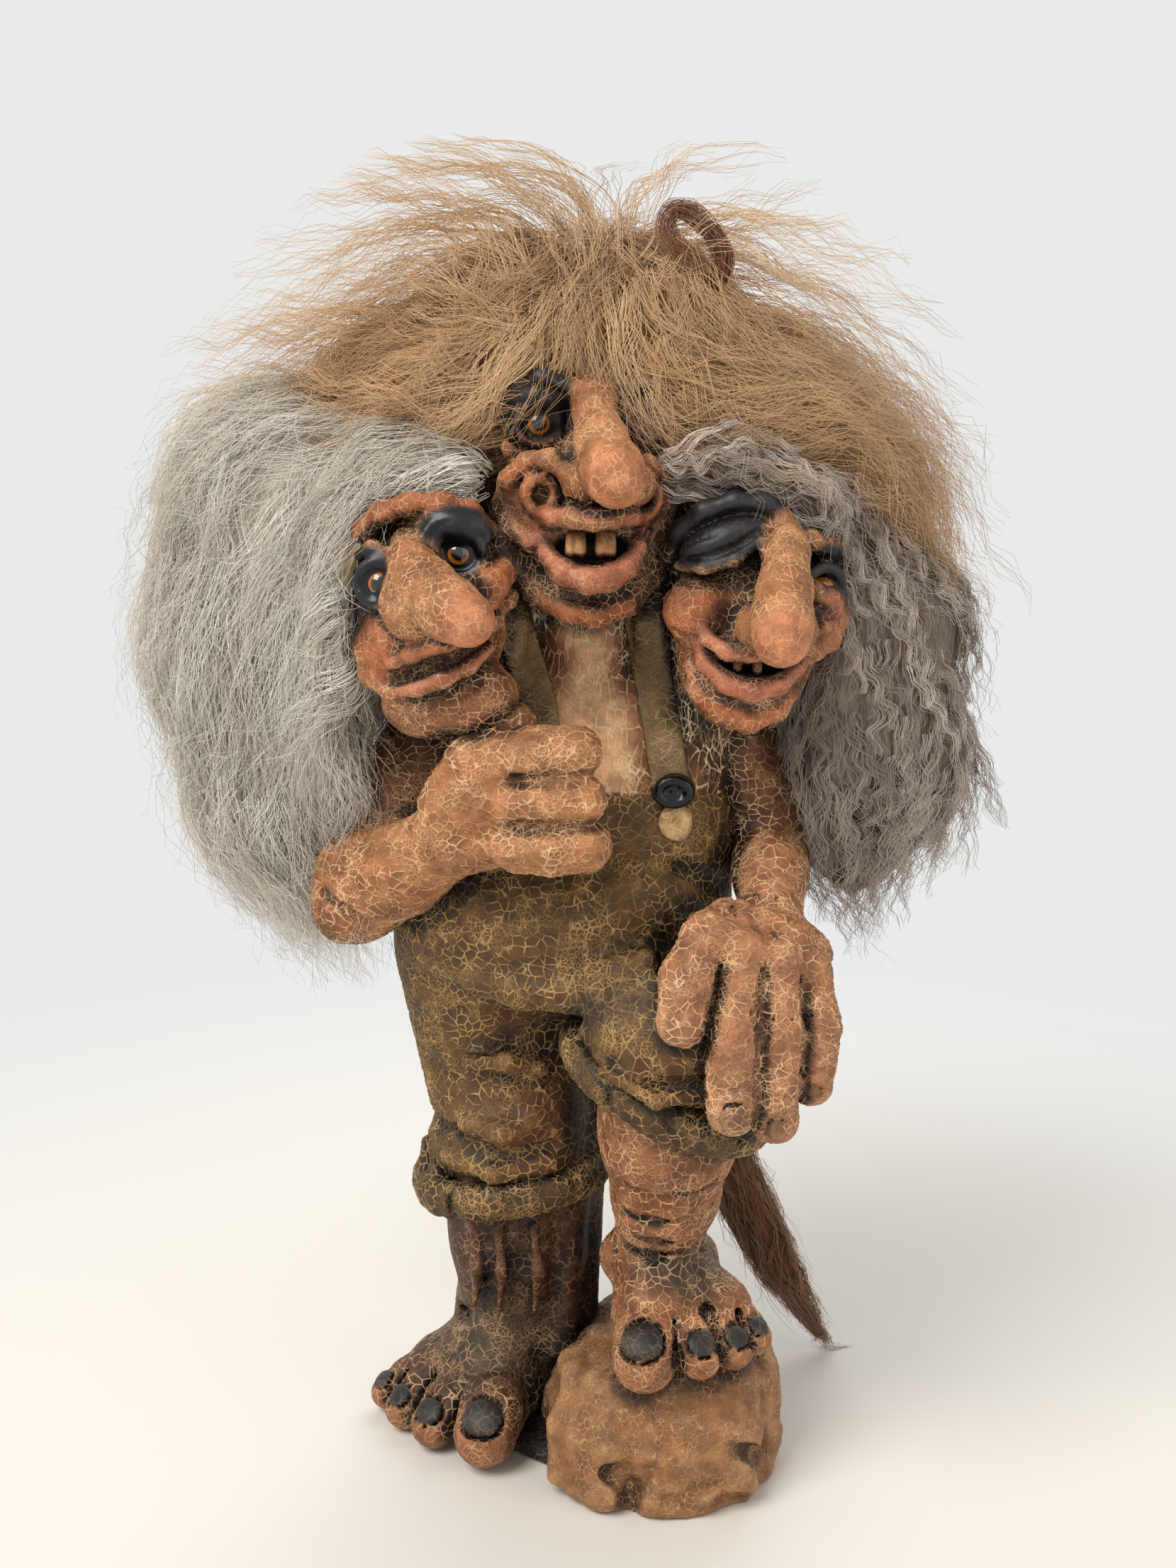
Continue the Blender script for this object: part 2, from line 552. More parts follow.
# %% Resting arm
arm = roll([(65, -3, 305), (76, -2, 284), (82, -2, 262)], [21, 19, 17], 8)
arm += roll([(81, -4, 264), (79, -28, 256), (77, -50, 243)], [16.5, 13.5, 12.5], 8)
arm += [egg((75, -66, 232), (19, 15, 16), 8, (25, 0, 0)), rod((64, -67, 238), (90, -60, 230), 11, 10, 7)]
resting_fingers = [
    ((63, -78, 235), (59.5, -90, 210), (58.5, -97, 181), 9.8),
    ((77, -76, 232), (77.5, -86, 206), (75, -92, 175), 9),
    ((90, -69, 225), (93, -77, 206), (90, -80, 185), 8.4),
]
for root, knuckle, tip, width in resting_fingers:
    arm += roll([root, knuckle, tip], [width * 0.94, width * 1.02, width], 1.6)
    arm.append(egg(np.array(root) + (0, -5, 3), (width * 0.8, width * 0.62, width * 0.7), 6))
arm += roll([(60, -62, 243), (50, -77, 241), (42, -88, 228), (40, -93, 213)], [10, 9.2, 9.6, 9.4], 4)
for left, right in ((0, 1), (1, 2)):
    seam = [
        (np.array(resting_fingers[left][i]) + resting_fingers[right][i]) / 2 + (0, -7, 0) for i in range(3)
    ]
    arm += groove(seam, [0.8, 1.6, 1.6], 3)
arm += groove([(56, -80, 240), (52, -89, 228), (49.5, -95, 208)], [1, 1.6, 2], 3)
for root, knuckle, tip, width in resting_fingers:
    for share in (0.3, 0.38, 0.78):
        middle = np.array(root) * (1 - share) + np.array(tip) * share + (0, -width - 1.8, -2)
        arm.append(rod(middle - (width * 0.6, -1, 0), middle + (width * 0.6, 1, 0), 0.5, 0.5, 2.6, True))
hand_nails = []
for (root, knuckle, tip, width), size in zip(resting_fingers, (1, 0.8, 0.7)):
    middle = np.array(tip) + (0, -width * 0.86, -width * 0.15)
    arm += nail(middle, (width * 0.52 * size, width * 0.6 * size, width * 0.26), (82, 0, 0))
    hand_nails.append(
        egg(middle, (width * 0.55 * size, width * 0.62 * size, width * 0.34), turn=(82, 0, 0)))
for x in (60, 68, 76, 84):
    arm += groove([(x + 4, -46, 252), (x, -70, 250), (x, -84, 236)], 0.5, 3)
resting_arm = arm
print("strokes in the resting arm:", len(resting_arm))

# %% [markdown]
# Each face is a carnival of rolls: hooked noses, cheeks that curl like a snail, heavy lids and thick
# lips. The middle head grins straight ahead, the left one pouts under a heavy jowl, and the right
# one winks. The faces are built from the skull outwards, big forms first, folds last.

# %% Middle head
upper_lid, lower_lid, eye_bag, wrinkle = (5, 175, 8), (190, 350, 8), (205, 335, 8), (150, 390, 8)


def ring(middle, across, up, lean, width, blend=1.5, arc=(0, 360, 14), carve=False):
    # A roll bent round an oval in the plane of the face, from one angle to another in so many
    # steps; the lean pushes its right side back
    start, end, steps = arc
    points = []
    for i in range(steps + 1):
        angle = math.radians(start + (end - start) * i / steps)
        x = across * math.cos(angle)
        points.append(np.array(middle, float) + (x, lean * x, up * math.sin(angle)))
    return roll(points, width, blend, carve)


face = [
    egg((4, -12, 418), (35, 37, 42), 8), egg((4, -32, 404), (33, 28, 42), 10),
    egg((3, -36, 382), (28, 24, 22), 9), egg((4, -46, 372), (18, 15, 12), 8),
    egg((6.5, -50, 394), (19, 18, 15), 8), egg((-14, -50, 403), (14, 14, 18), 7),
    egg((26, -47, 402), (12, 13, 17), 7),
]
face += roll([(-29, -42, 436), (-23, -50, 446), (-12, -55, 449), (-1, -56, 446)], [3, 3.6, 3.6, 3.4], 4)
face += roll([(14, -55, 444), (23, -53, 444), (32, -47, 440), (38, -37, 432)], [3.2, 3.4, 3.4, 3], 4)
face += [
    hollow((-13.5, -55, 433.5), (12, 12.5, 12.5), 4), hollow((26, -53, 429.5), (11, 12, 11.5), 4),
    egg((-13.5, -46, 433), (9, 7, 9), 2), egg((25.5, -44, 429.5), (8.5, 7, 8.5), 2),
]
face += roll(
    [(6, -48, 449), (7, -58, 438), (10, -70, 425), (13.5, -82, 415), (15, -90, 411.5)],
    [6.5, 7.6, 9.4, 10.8, 10.6], 4)
face += [
    egg((4.5, -71, 411), (7.5, 9, 8), 4), egg((22.5, -70, 410), (7.5, 9, 8), 4),
    hollow((9, -84, 401.5), (3, 4, 2.6), 2), hollow((20.5, -83, 401.5), (3, 4, 2.6), 2),
]
for turn, width in ((0, 0.7), (3.2, 0.6), (6.4, 0.5)):
    face += ring((7.2, -60 - 1.2 * turn / 2, 440 - turn * 1.8), 5.4, 3.4, 0, width, 1.6, wrinkle, True)
face += [
    egg((-14, -49, 442.5), (14, 8, 5.5), 3), egg((-26, -42, 434), (6, 8, 10), 4),
    egg((26, -46, 439), (12, 8, 5), 3),
]
face += ring((-13.5, -51.5, 433.2), 8.2, 7.8, 0.25, 2, 1.6, upper_lid)
face += ring((-13.5, -51, 432.6), 8.4, 8, 0.25, 1.3, 1.6, lower_lid)
face += ring((-14, -52, 433), 11.6, 11.6, 0.3, 1, 1.5, (200, 340, 8), True)
face += ring((-14, -52, 430), 13, 12.2, 0.3, 2.1, 3, eye_bag)
face += ring((25.5, -49.5, 429.8), 7.8, 7.6, 0.35, 2, 1.6, upper_lid)
face += ring((25.5, -49.2, 429), 8, 7.8, 0.35, 1.3, 1.6, lower_lid)
face += ring((25.5, -50, 426), 11.5, 11, 0.35, 2, 3, (205, 330, 8))
face += roll(
    [(-16, -62, 388), (-23.5, -57, 394), (-26.5, -54, 403), (-24, -58, 412), (-17, -63, 418),
     (-8.5, -67, 419), (-2.6, -69, 414.5), (-1.2, -70, 407)], [3.2, 4, 4.4, 4.3, 4.2, 4, 3.6, 3], 2.2)
face += ring((-12.6, -65.5, 406.5), 5.4, 6.2, 0.35, 2.2, 1.6)
face += [hollow((-12.6, -68, 406.5), (2, 4.5, 2.3), 1.5)]
face += ring((-12.8, -66.5, 406.5), 8.8, 9.4, 0.35, 0.7, 1.6, (20, 340, 14), True)
face += roll(
    [(24, -61, 389), (31.5, -56, 395), (35, -51, 404), (32.5, -55, 413), (26.5, -61, 417.5),
     (21, -65, 415)], [3, 3.8, 4, 4, 3.6, 3], 2.2)
face += ring((26.5, -61.5, 405), 4.4, 5.6, -0.5, 2, 1.6)
face += [hollow((26.5, -64, 405), (1.6, 4, 1.9), 1.5)]
face += [hollow((6.8, -68, 386.5), (15.5, 13, 7.5), 3)]
face += roll(
    [(-15, -60, 396.5), (-8, -66.5, 398), (1, -71.5, 398.5), (7, -72.5, 397.2), (14, -71, 398.5),
     (21, -66, 398.5), (27.5, -59, 397)], [2.6, 3.6, 4.2, 3.8, 4.2, 3.6, 2.6], 2.4)
face += roll(
    [(-13, -60.5, 392), (-11, -64, 384.5), (-4.5, -68, 378), (5, -70.5, 375), (13, -70, 376),
     (20.5, -66, 380.5), (24.5, -61.5, 388), (25.5, -59, 393)], [2.8, 3.8, 4.6, 5, 4.8, 4.2, 3.4, 2.6],
    2.4)
face += groove(
    [(-11, -63, 375.5), (-2, -67, 369.5), (8, -68, 368.2), (17, -64.5, 371)], [1, 1.5, 1.5, 1], 3)
face += roll(
    [(-28, -40, 404), (-28.5, -46, 392), (-24, -51, 380), (-14, -55, 369.5), (-2, -58, 363.5),
     (8, -58.5, 362), (20, -54, 366), (30, -46, 377), (34.5, -40, 390)],
    [3, 4, 4.6, 4.8, 4.6, 4.6, 4.6, 4.2, 3], 3)
face += groove([(-22.5, -56, 386), (-17, -60, 376), (-8, -62, 369)], [0.8, 1.2, 0.8], 2.4)
face += groove([(-19, -64, 394), (-16, -66, 390), (-15.5, -64, 384)], [0.8, 1.1, 0.7], 2)
face += groove([(28, -60, 394), (26.5, -62, 390), (27, -60, 384)], [0.8, 1.1, 0.7], 2)
face += groove([(-1.5, -70, 405), (1, -72, 403), (4, -72.5, 402.2)], [0.7, 0.9, 0.7], 1.6)
middle_face = face
print("strokes in the middle face:", len(middle_face))

# %% [markdown]
# The left head looks past the viewer. Its heavy lid hangs half over a large eye, the nose reaches
# furthest out of the three, and the mouth is a long groove over a jowl.

# %% Left head
face = [
    egg((-58, -36, 372), (32, 33, 35), 8), egg((-53, -54, 360), (27, 25, 33), 10),
    egg((-38, -70, 332), (17, 16, 14.5), 7), egg((-56, -66, 330), (16, 16, 13), 7),
    egg((-50, -54, 328), (22, 20, 12), 8), egg((-67, -68, 350), (12, 13, 14), 6),
    egg((-47, -76, 354), (17, 14, 9), 6),
]
face += roll(
    [(-83, -52, 385), (-79, -62, 393), (-71, -70, 400), (-60, -75, 403), (-48, -76, 403.5),
     (-38, -72, 401), (-31, -64, 394)], [3, 3.6, 3.8, 3.6, 3.4, 3, 2.6], 3.5)
face += [
    hollow((-42, -80, 386.5), (13.5, 13, 13), 3.5), hollow((-72.5, -79, 375), (9.5, 12, 10), 3.5),
    egg((-42.5, -70.5, 385), (9, 7, 9), 2), egg((-71, -71.5, 374), (8, 7, 8), 2),
]
face += roll(
    [(-61, -68, 388), (-58.5, -79, 381), (-52, -92, 373), (-44, -104, 366.5), (-37, -110.5, 363)],
    [7, 8.6, 10.2, 10.8, 9.8], 4)
face += [
    egg((-60, -82, 367), (11, 10, 12), 5), egg((-58, -88, 361), (8.5, 9, 7.5), 4),
    egg((-38, -92, 361), (7, 9, 7), 4), hollow((-50, -98, 355.5), (3.2, 4, 2.8), 2),
    hollow((-39, -99, 354.5), (3, 4, 2.6), 2),
]
face += [egg((-43, -73.5, 395), (14, 8.5, 7.5), 2.5, (0, 6, 0)), egg((-55, -74, 388), (5, 6, 9), 3)]
face += ring((-42.5, -77.5, 385.5), 8.9, 9, 0.1, 2.3, 1.2, (5, 175, 9))
face += ring((-43, -78, 386), 12.4, 12.6, 0.12, 1.5, 1.2, (20, 160, 10))
face += ring((-43, -80, 386), 10.6, 10.8, 0.12, 0.5, 0.8, (15, 165, 10), True)
face += ring((-42.5, -76.5, 385), 9, 8.4, 0.1, 1.6, 1.6, lower_lid)
face += ring((-43, -76.5, 383), 12.2, 10.5, 0.1, 1.8, 2.4, eye_bag)
face += ring((-71.5, -77, 374.5), 7.6, 7.6, -0.2, 2, 1.8, (10, 170, 8))
face += ring((-71.5, -77, 374), 7.8, 7.4, -0.2, 1.9, 1.8, lower_lid)
face += roll([(-80, -66, 384), (-74, -74, 387), (-66, -78, 384)], [2.2, 2.6, 2], 3)
face += roll(
    [(-26, -62, 379), (-27.5, -70, 378), (-30, -77, 374), (-32, -79, 367)], [4, 5.4, 5.8, 4.4], 3)
face += groove([(-37, -82, 361), (-31, -80, 361.5), (-25.5, -72, 365)], [1.6, 2.2, 1.6], 2.4)
face += roll([(-23.5, -60, 369), (-25, -68, 368), (-27, -75, 364)], [2.6, 3.2, 2.2], 2.5)
face += groove(
    [(-29, -78, 356.5), (-36, -86, 350.5), (-46, -90.5, 346), (-57, -89, 342), (-66, -82, 339)],
    [2.2, 3.4, 3.8, 3.2, 2.2], 3)
face += roll(
    [(-28, -76, 360), (-36, -86, 357.5), (-47, -91, 353.5), (-58, -89, 349.5), (-67, -82, 345)],
    [2.4, 3.4, 3.6, 3.2, 2.4], 2.4)
face += roll(
    [(-31, -80, 351), (-38, -87, 345), (-47, -90.5, 340.5), (-57, -88, 336.8), (-65, -82, 335)],
    [2, 2.8, 3.2, 2.8, 2], 2.2)
face += roll([(-76, -62, 362), (-79.5, -64, 351), (-76, -70, 340), (-67, -78, 333)], [3, 4, 4, 3], 3)
face += groove([(-70, -77, 361), (-63, -83, 356), (-58, -86, 353)], [1, 1.4, 1], 2.4)
face += [hollow((-69.5, -83, 339), (3, 4, 2.6), 2.5)]
face += groove([(-33, -84, 340), (-40, -87.5, 334.5), (-50, -87, 331)], [0.7, 1.1, 0.7], 3)
face += groove([(-29, -80, 344), (-24, -70, 342)], [0.8, 1.2], 3)
face += groove([(-74, -72, 330), (-62, -80, 323), (-50, -80, 319)], [0.8, 1.4, 0.8], 4)
face += ring((-59.5, -79, 384), 5, 3, 0, 0.6, 1.5, wrinkle, True)
face += ring((-57.5, -83, 378.5), 5.6, 3, 0, 0.6, 1.5, wrinkle, True)
left_face = face
print("strokes in the left face:", len(left_face))

# %% [markdown]
# The right head winks. The closed lid is one broad tilted egg with a fold under it, and the mouth
# stands open over a single row of stumps.

# %% Right head
face = [
    egg((71, -32, 370), (31, 31, 35), 8), egg((66, -48, 357), (28, 25, 33), 10),
    egg((64, -50, 336), (22, 21, 15), 8), egg((62, -62, 329), (15, 13, 10), 7),
    egg((66, -62, 347), (19, 15, 13), 7), egg((46, -62, 364), (13, 13, 13), 5),
    egg((91, -58, 360), (9, 12, 12), 6),
]
face += roll(
    [(36, -54, 384), (39.5, -61, 393), (48, -67, 400), (59, -69, 403.5), (70, -69, 403), (76, -68, 399)],
    [3, 3.6, 3.8, 3.8, 3.6, 3.2], 4)
face += [
    hollow((55, -78, 390.5), (19, 12, 9.5), 3, (0, -22, 0)),
    egg((55, -68, 390), (17.5, 9.5, 7.2), 1.5, (0, -22, 0)), hollow((95, -66, 371), (9.5, 10, 10.5), 3),
    egg((92, -59, 370.5), (7.5, 6.5, 7.5), 2),
]
face += groove(
    [(38.5, -68, 383), (48, -76, 383.5), (59, -78, 387.5), (70, -74, 395)], [0.7, 1.3, 1.3, 0.7], 1.6)
face += roll(
    [(38.5, -66, 380.5), (47, -73.5, 379.5), (59, -76.5, 383), (68.5, -75, 390)], [2, 2.6, 2.4, 1.6], 2)
for shift in (0, 1):
    face += groove(
        [(42 + 2 * shift, -71.5, 388 + 3.4 * shift), (54, -78, 393.4 + 3 * shift),
         (66, -77, 399.5 + 2 * shift)], [0.4, 0.8, 0.4], 1.8)
face += roll(
    [(77, -64, 394), (77.5, -75, 385), (75.5, -89, 372), (73.5, -100, 361.5), (72.8, -105.5, 356)],
    [6.8, 8, 9.6, 10.6, 10.2], 4)
face += [
    egg((65.5, -83, 359), (7, 9, 8.5), 4), egg((82, -81, 357.5), (7, 9, 8), 4),
    hollow((67.5, -95, 349), (2.8, 4, 2.4), 2), hollow((77.5, -95, 348.5), (2.8, 4, 2.4), 2),
]
face += roll([(80, -66, 386), (88, -63, 389), (96, -56, 387), (102, -46, 380)], [3.2, 4.2, 4.2, 3.2], 3)
face += ring((93, -65, 371.5), 7.4, 8.2, 0.55, 2, 1.8, (10, 170, 8))
face += ring((93, -65, 371), 7.6, 8, 0.55, 2, 1.8, lower_lid)
face += roll(
    [(81, -77, 371), (88, -73, 371.5), (95, -66, 368), (98.5, -60, 360.5), (95.5, -64, 353),
     (89, -71, 349.5), (84, -76, 351.5)], [3, 3.8, 4.2, 4.4, 4.2, 3.8, 3], 2.2)
face += [hollow((89.5, -72.5, 360.5), (2.6, 4.5, 3.4), 2)]
face += groove([(36, -60, 372), (44, -72, 376), (54, -75, 375.5)], [0.8, 1.3, 0.8], 2.4)
face += ring((47, -70.5, 363.5), 11.5, 12, -0.35, 1.2, 2.4, (215, 400, 12), True)
face += [hollow((66, -78, 345), (14.5, 11, 5.8), 2.4, (0, 4, 0))]
face += roll(
    [(46.5, -71, 360.5), (49, -75, 354), (56, -79, 349.5), (64, -80.5, 348.6), (74, -79.5, 349),
     (82, -76, 351), (88, -70, 356)], [1.8, 2.6, 3.2, 3.2, 3.2, 2.6, 1.8], 2)
face += roll(
    [(45.5, -68, 354), (48.5, -73, 345), (56, -77, 337.8), (65, -79, 334.8), (75, -77, 336.8),
     (82, -72.5, 343), (86, -69, 350)], [2.2, 3.2, 4, 4.2, 3.8, 3.2, 2.2], 2)
face += groove(
    [(50, -73, 334.5), (58, -76, 329.5), (68, -76.5, 328.5), (77, -72, 332)], [0.8, 1.2, 1.2, 0.8], 2.4)
face += roll(
    [(44, -62, 343), (47, -66, 333), (55, -69.5, 325.5), (65, -71, 322.5), (76, -66, 326.5),
     (84, -60, 336)], [2.6, 3.6, 4.2, 4.2, 4, 2.8], 2.6)
face += ring((77.2, -72.5, 390), 5, 3, 0, 0.6, 1.5, wrinkle, True)
face += ring((77.2, -77, 384), 5.4, 3, 0, 0.6, 1.5, wrinkle, True)
right_face = face
print("strokes in the right face:", len(right_face))

# %% [markdown]
# The painter's trick on such figures is a dark wash that stays in every hollow, and a dry brush
# that leaves light paint on every ridge. To know the hollows, all the clay is laid into one coarse
# grid, and each point of a surface asks how much free air lies in front of it.

# %% Hollows of the whole figure
coarse = 3.0
figure_low = np.array([-140.0, -140.0, -10.0])
air = np.full((104, 84, 162), 30.0, dtype=np.float32)
clay = [standing_leg, raised_leg, boulder, web, trousers, standing_hem, raised_hem, chest, fist_arm,
        resting_arm, middle_face, left_face, right_face]
for strokes in clay:
    add_strokes(air, figure_low, coarse, strokes, 24)
print("coarse grid cells:", air.size)


def grid_value(field, low, step, points):
    # The value of a grid between its points, mixed from the eight nearest
    place = np.clip((points - low) / step, 0, np.array(field.shape) - 1.001)
    cell = place.astype(int)
    part = place - cell
    total = np.zeros(len(points))
    for dx in (0, 1):
        for dy in (0, 1):
            for dz in (0, 1):
                weight = np.abs(1 - dx - part[:, 0]) * np.abs(1 - dy - part[:, 1])
                weight = weight * np.abs(1 - dz - part[:, 2])
                total += weight * field[cell[:, 0] + dx, cell[:, 1] + dy, cell[:, 2] + dz]
    return total


def openness(points, normals):
    # 1 in the open, 0 at the bottom of a fold
    total = np.zeros(len(points))
    for reach in (4, 8, 14, 22):
        seen = grid_value(air, figure_low, coarse, points + normals * reach)
        total += np.clip(seen / reach, 0, 1)
    return total / 4


def relief(mesh, points, normals, rounds):
    # How far each point stands above its smoothed neighbourhood
    edges = numbers(mesh.edges, "vertices", 2, np.int64)
    count = np.bincount(edges.ravel(), minlength=len(points))[:, None]
    smooth = points.copy()
    for _ in range(rounds):
        total = np.zeros_like(smooth)
        for axis in range(3):
            total[:, axis] = np.bincount(edges[:, 0], smooth[edges[:, 1], axis], len(points))
            total[:, axis] += np.bincount(edges[:, 1], smooth[edges[:, 0], axis], len(points))
        smooth = 0.5 * smooth + 0.5 * total / np.maximum(count, 1)
    return ((points - smooth) * normals).sum(axis=1)


# %% [markdown]
# A finish has three tones: the wash in the hollows, the middle colour, and the dry brush on the
# ridges. A dab lays another finish over a soft-edged stroke, such as a pink lip or a black lid.

# %% Finishes and dabs
tones = {
    "skin": ((32, 16, 8), (134, 82, 49), (202, 144, 98)),
    "hand_skin": ((48, 25, 13), (160, 106, 72), (220, 170, 128)),
    "pale_skin": ((58, 30, 15), (164, 108, 68), (216, 162, 112)),
    "chest_skin": ((110, 68, 40), (232, 182, 136), (255, 230, 190)),
    "shaded_skin": ((20, 10, 6), (74, 41, 24), (138, 90, 56)),
    "shin_skin": ((16, 8, 4), (66, 34, 15), (112, 68, 36)),
    "orange": ((54, 24, 12), (158, 90, 54), (206, 134, 90)),
    "pink": ((62, 27, 17), (164, 94, 68), (204, 134, 104)),
    "nose_tip": ((96, 50, 30), (194, 122, 84), (226, 158, 116)),
    "dark_chin": ((26, 13, 7), (88, 54, 33), (182, 136, 96)),
    "lid": ((5, 6, 8), (20, 21, 26), (56, 60, 68)),
    "mouth": ((10, 5, 4), (34, 16, 11), (66, 34, 24)),
    "trousers": ((24, 15, 6), (90, 64, 30), (136, 102, 56)),
    "brown_trousers": ((26, 13, 6), (86, 52, 25), (138, 96, 54)),
    "hem": ((20, 13, 6), (70, 50, 26), (118, 90, 52)),
    "strap": ((44, 30, 16), (122, 98, 64), (164, 138, 98)),
    "rock": ((72, 44, 25), (146, 99, 60), (214, 170, 124)),
    "foot_top": ((18, 13, 9), (68, 51, 35), (124, 97, 70)),
    "nail": ((10, 9, 8), (32, 29, 27), (70, 65, 58)),
    "hand_nail": ((44, 25, 15), (118, 78, 54), (176, 134, 100)),
    "web": ((6, 4, 3), (22, 15, 10), (46, 32, 22)),
    "cream": ((100, 70, 40), (190, 156, 108), (226, 196, 150)),
    "tooth": ((96, 54, 26), (196, 142, 92), (230, 182, 132)),
    "button": ((4, 4, 5), (14, 14, 16), (30, 31, 34)),
}
tones = {name: [srgb(*colour) for colour in levels] for name, levels in tones.items()}


def dab(stroke, tone, soft=3.0, net=None, shine=None):
    return {"stroke": stroke, "tone": tone, "soft": soft, "net": net, "shine": shine}


def dabs(strokes, tone, soft=3.0, net=None, shine=None):
    return [dab(stroke, tone, soft, net, shine) for stroke in strokes]


def smooth_step(value):
    value = np.clip(value, 0, 1)
    return value * value * (3 - 2 * value)


def painted(mesh, tone, marks, net=1.0, fine=0.7, broad=2.2):
    # Three tones are laid by hollow and ridge, and kept on the mesh with the strength of the net
    # of cracks and the shine
    points, normals = surface(mesh)
    levels = [np.repeat(tones[tone][i][None, :], len(points), axis=0) for i in range(3)]
    net_amount = np.full(len(points), net)
    shine_amount = np.zeros(len(points))
    for mark in marks:
        distance = stroke_distance(mark["stroke"], points[:, 0], points[:, 1], points[:, 2])
        weight = smooth_step(0.5 - distance / mark["soft"])
        for i in range(3):
            levels[i] += weight[:, None] * (tones[mark["tone"]][i] - levels[i])
        if mark["net"] is not None:
            net_amount += weight * (mark["net"] - net_amount)
        if mark["shine"] is not None:
            shine_amount += weight * (mark["shine"] - shine_amount)
    small, large = relief(mesh, points, normals, 6), relief(mesh, points, normals, 40)
    open_share = openness(points, normals)
    depth = np.clip(-small / fine, 0, 1) * 0.55 + np.clip(-large / broad, 0, 1) * 0.5
    depth = np.clip(depth + smooth_step((0.86 - open_share) / 0.58), 0, 1)
    ridge = np.clip(np.clip(small / fine, 0, 1) * 0.6 + np.clip(large / broad, 0, 1) * 0.55, 0, 1)
    colour = levels[1] + (levels[2] - levels[1]) * ridge[:, None]
    colour = colour + (levels[0] - colour) * depth[:, None]
    rgba = np.ones((len(points), 4))
    rgba[:, :3] = colour
    mesh.attributes.new("paint", "FLOAT_COLOR", "POINT").data.foreach_set("color", rgba.ravel())
    for kept, amount in (("net", net_amount), ("shine", shine_amount)):
        mesh.attributes.new(kept, "FLOAT", "POINT").data.foreach_set("value", amount)


print("finishes:", ", ".join(tones))

# %% [markdown]
# Materials are small trees of nodes. A few helpers keep them short: one adds a node and feeds its
# inputs, others are for sums, noise, ramps and bumps.

# %% Helpers for nodes
def feed(tree, socket, value):
    # The output of another node is linked, and a plain value is set
    if isinstance(value, bpy.types.NodeSocket):
        tree.links.new(value, socket)
    else:
        socket.default_value = value


def add_node(tree, kind, **inputs):
    node = tree.nodes.new(kind)
    for key, value in inputs.items():
        feed(tree, node.inputs[int(key[1:]) if key[1:].isdigit() else key], value)
    return node


def maths(tree, operation, first, second, clamp=False):
    node = add_node(tree, "ShaderNodeMath", i0=first, i1=second)
    node.operation = operation
    node.use_clamp = clamp
    return node.outputs[0]


def vector_maths(tree, operation, first, second):
    node = add_node(tree, "ShaderNodeVectorMath", i0=first, i1=second)
    node.operation = operation
    return node.outputs[0]


def level(tree, value, low, high, out_low=0.0, out_high=1.0):
    # A soft step from one level to another while the value climbs from low to high
    node = add_node(tree, "ShaderNodeMapRange", i0=value, i1=low, i2=high, i3=out_low, i4=out_high)
    node.interpolation_type = "SMOOTHSTEP"
    return node.outputs[0]


def noise(tree, place, scale, detail=2.0):
    return add_node(tree, "ShaderNodeTexNoise", Vector=place, Scale=scale, Detail=detail)


def blank_material(name):
    material = bpy.data.materials.new(name)
    material.use_nodes = True
    tree = material.node_tree
    return material, tree, tree.nodes["Principled BSDF"]


def own_place(tree):
    return tree.nodes.new("ShaderNodeTexCoord").outputs["Object"]


def kept_value(tree, name):
    # What was painted on the mesh under this name
    node = tree.nodes.new("ShaderNodeAttribute")
    node.attribute_name = name
    return node


def colour_mix(tree, share, first, second, blend="MIX"):
    node = tree.nodes.new("ShaderNodeMix")
    node.data_type, node.blend_type = "RGBA", blend
    for i, value in ((0, share), (6, first), (7, second)):
        feed(tree, node.inputs[i], value)
    return node.outputs[2]


def ramp(tree, value, stops):
    # A colour for each share from 0 to 1
    node = tree.nodes.new("ShaderNodeValToRGB")
    while len(node.color_ramp.elements) < len(stops):
        node.color_ramp.elements.new(0.5)
    for element, (share, colour) in zip(node.color_ramp.elements, stops):
        element.position = share
        element.color = (*colour, 1)
    tree.links.new(value, node.inputs[0])
    return node.outputs[0]


def add_bumps(tree, shader, height, strength, distance):
    bumps = add_node(tree, "ShaderNodeBump", Strength=strength, Distance=distance, Height=height)
    tree.links.new(bumps.outputs[0], shader.inputs["Normal"])


def set_inputs(node, values):
    for name, value in values.items():
        node.inputs[name].default_value = value


print("nodes can be added to", srgb(255, 255, 255).size, "colour channels")

# %% [markdown]
# The crackle is the mark of this finish: a varnish that shrank into little islands, with cream
# paint standing up between them. A Voronoi texture measures how far a point is from the border
# between two cells. The same small set of nodes is used twice, once in geometry nodes to raise the
# borders, and once in the material to colour them, so that relief and colour always agree.

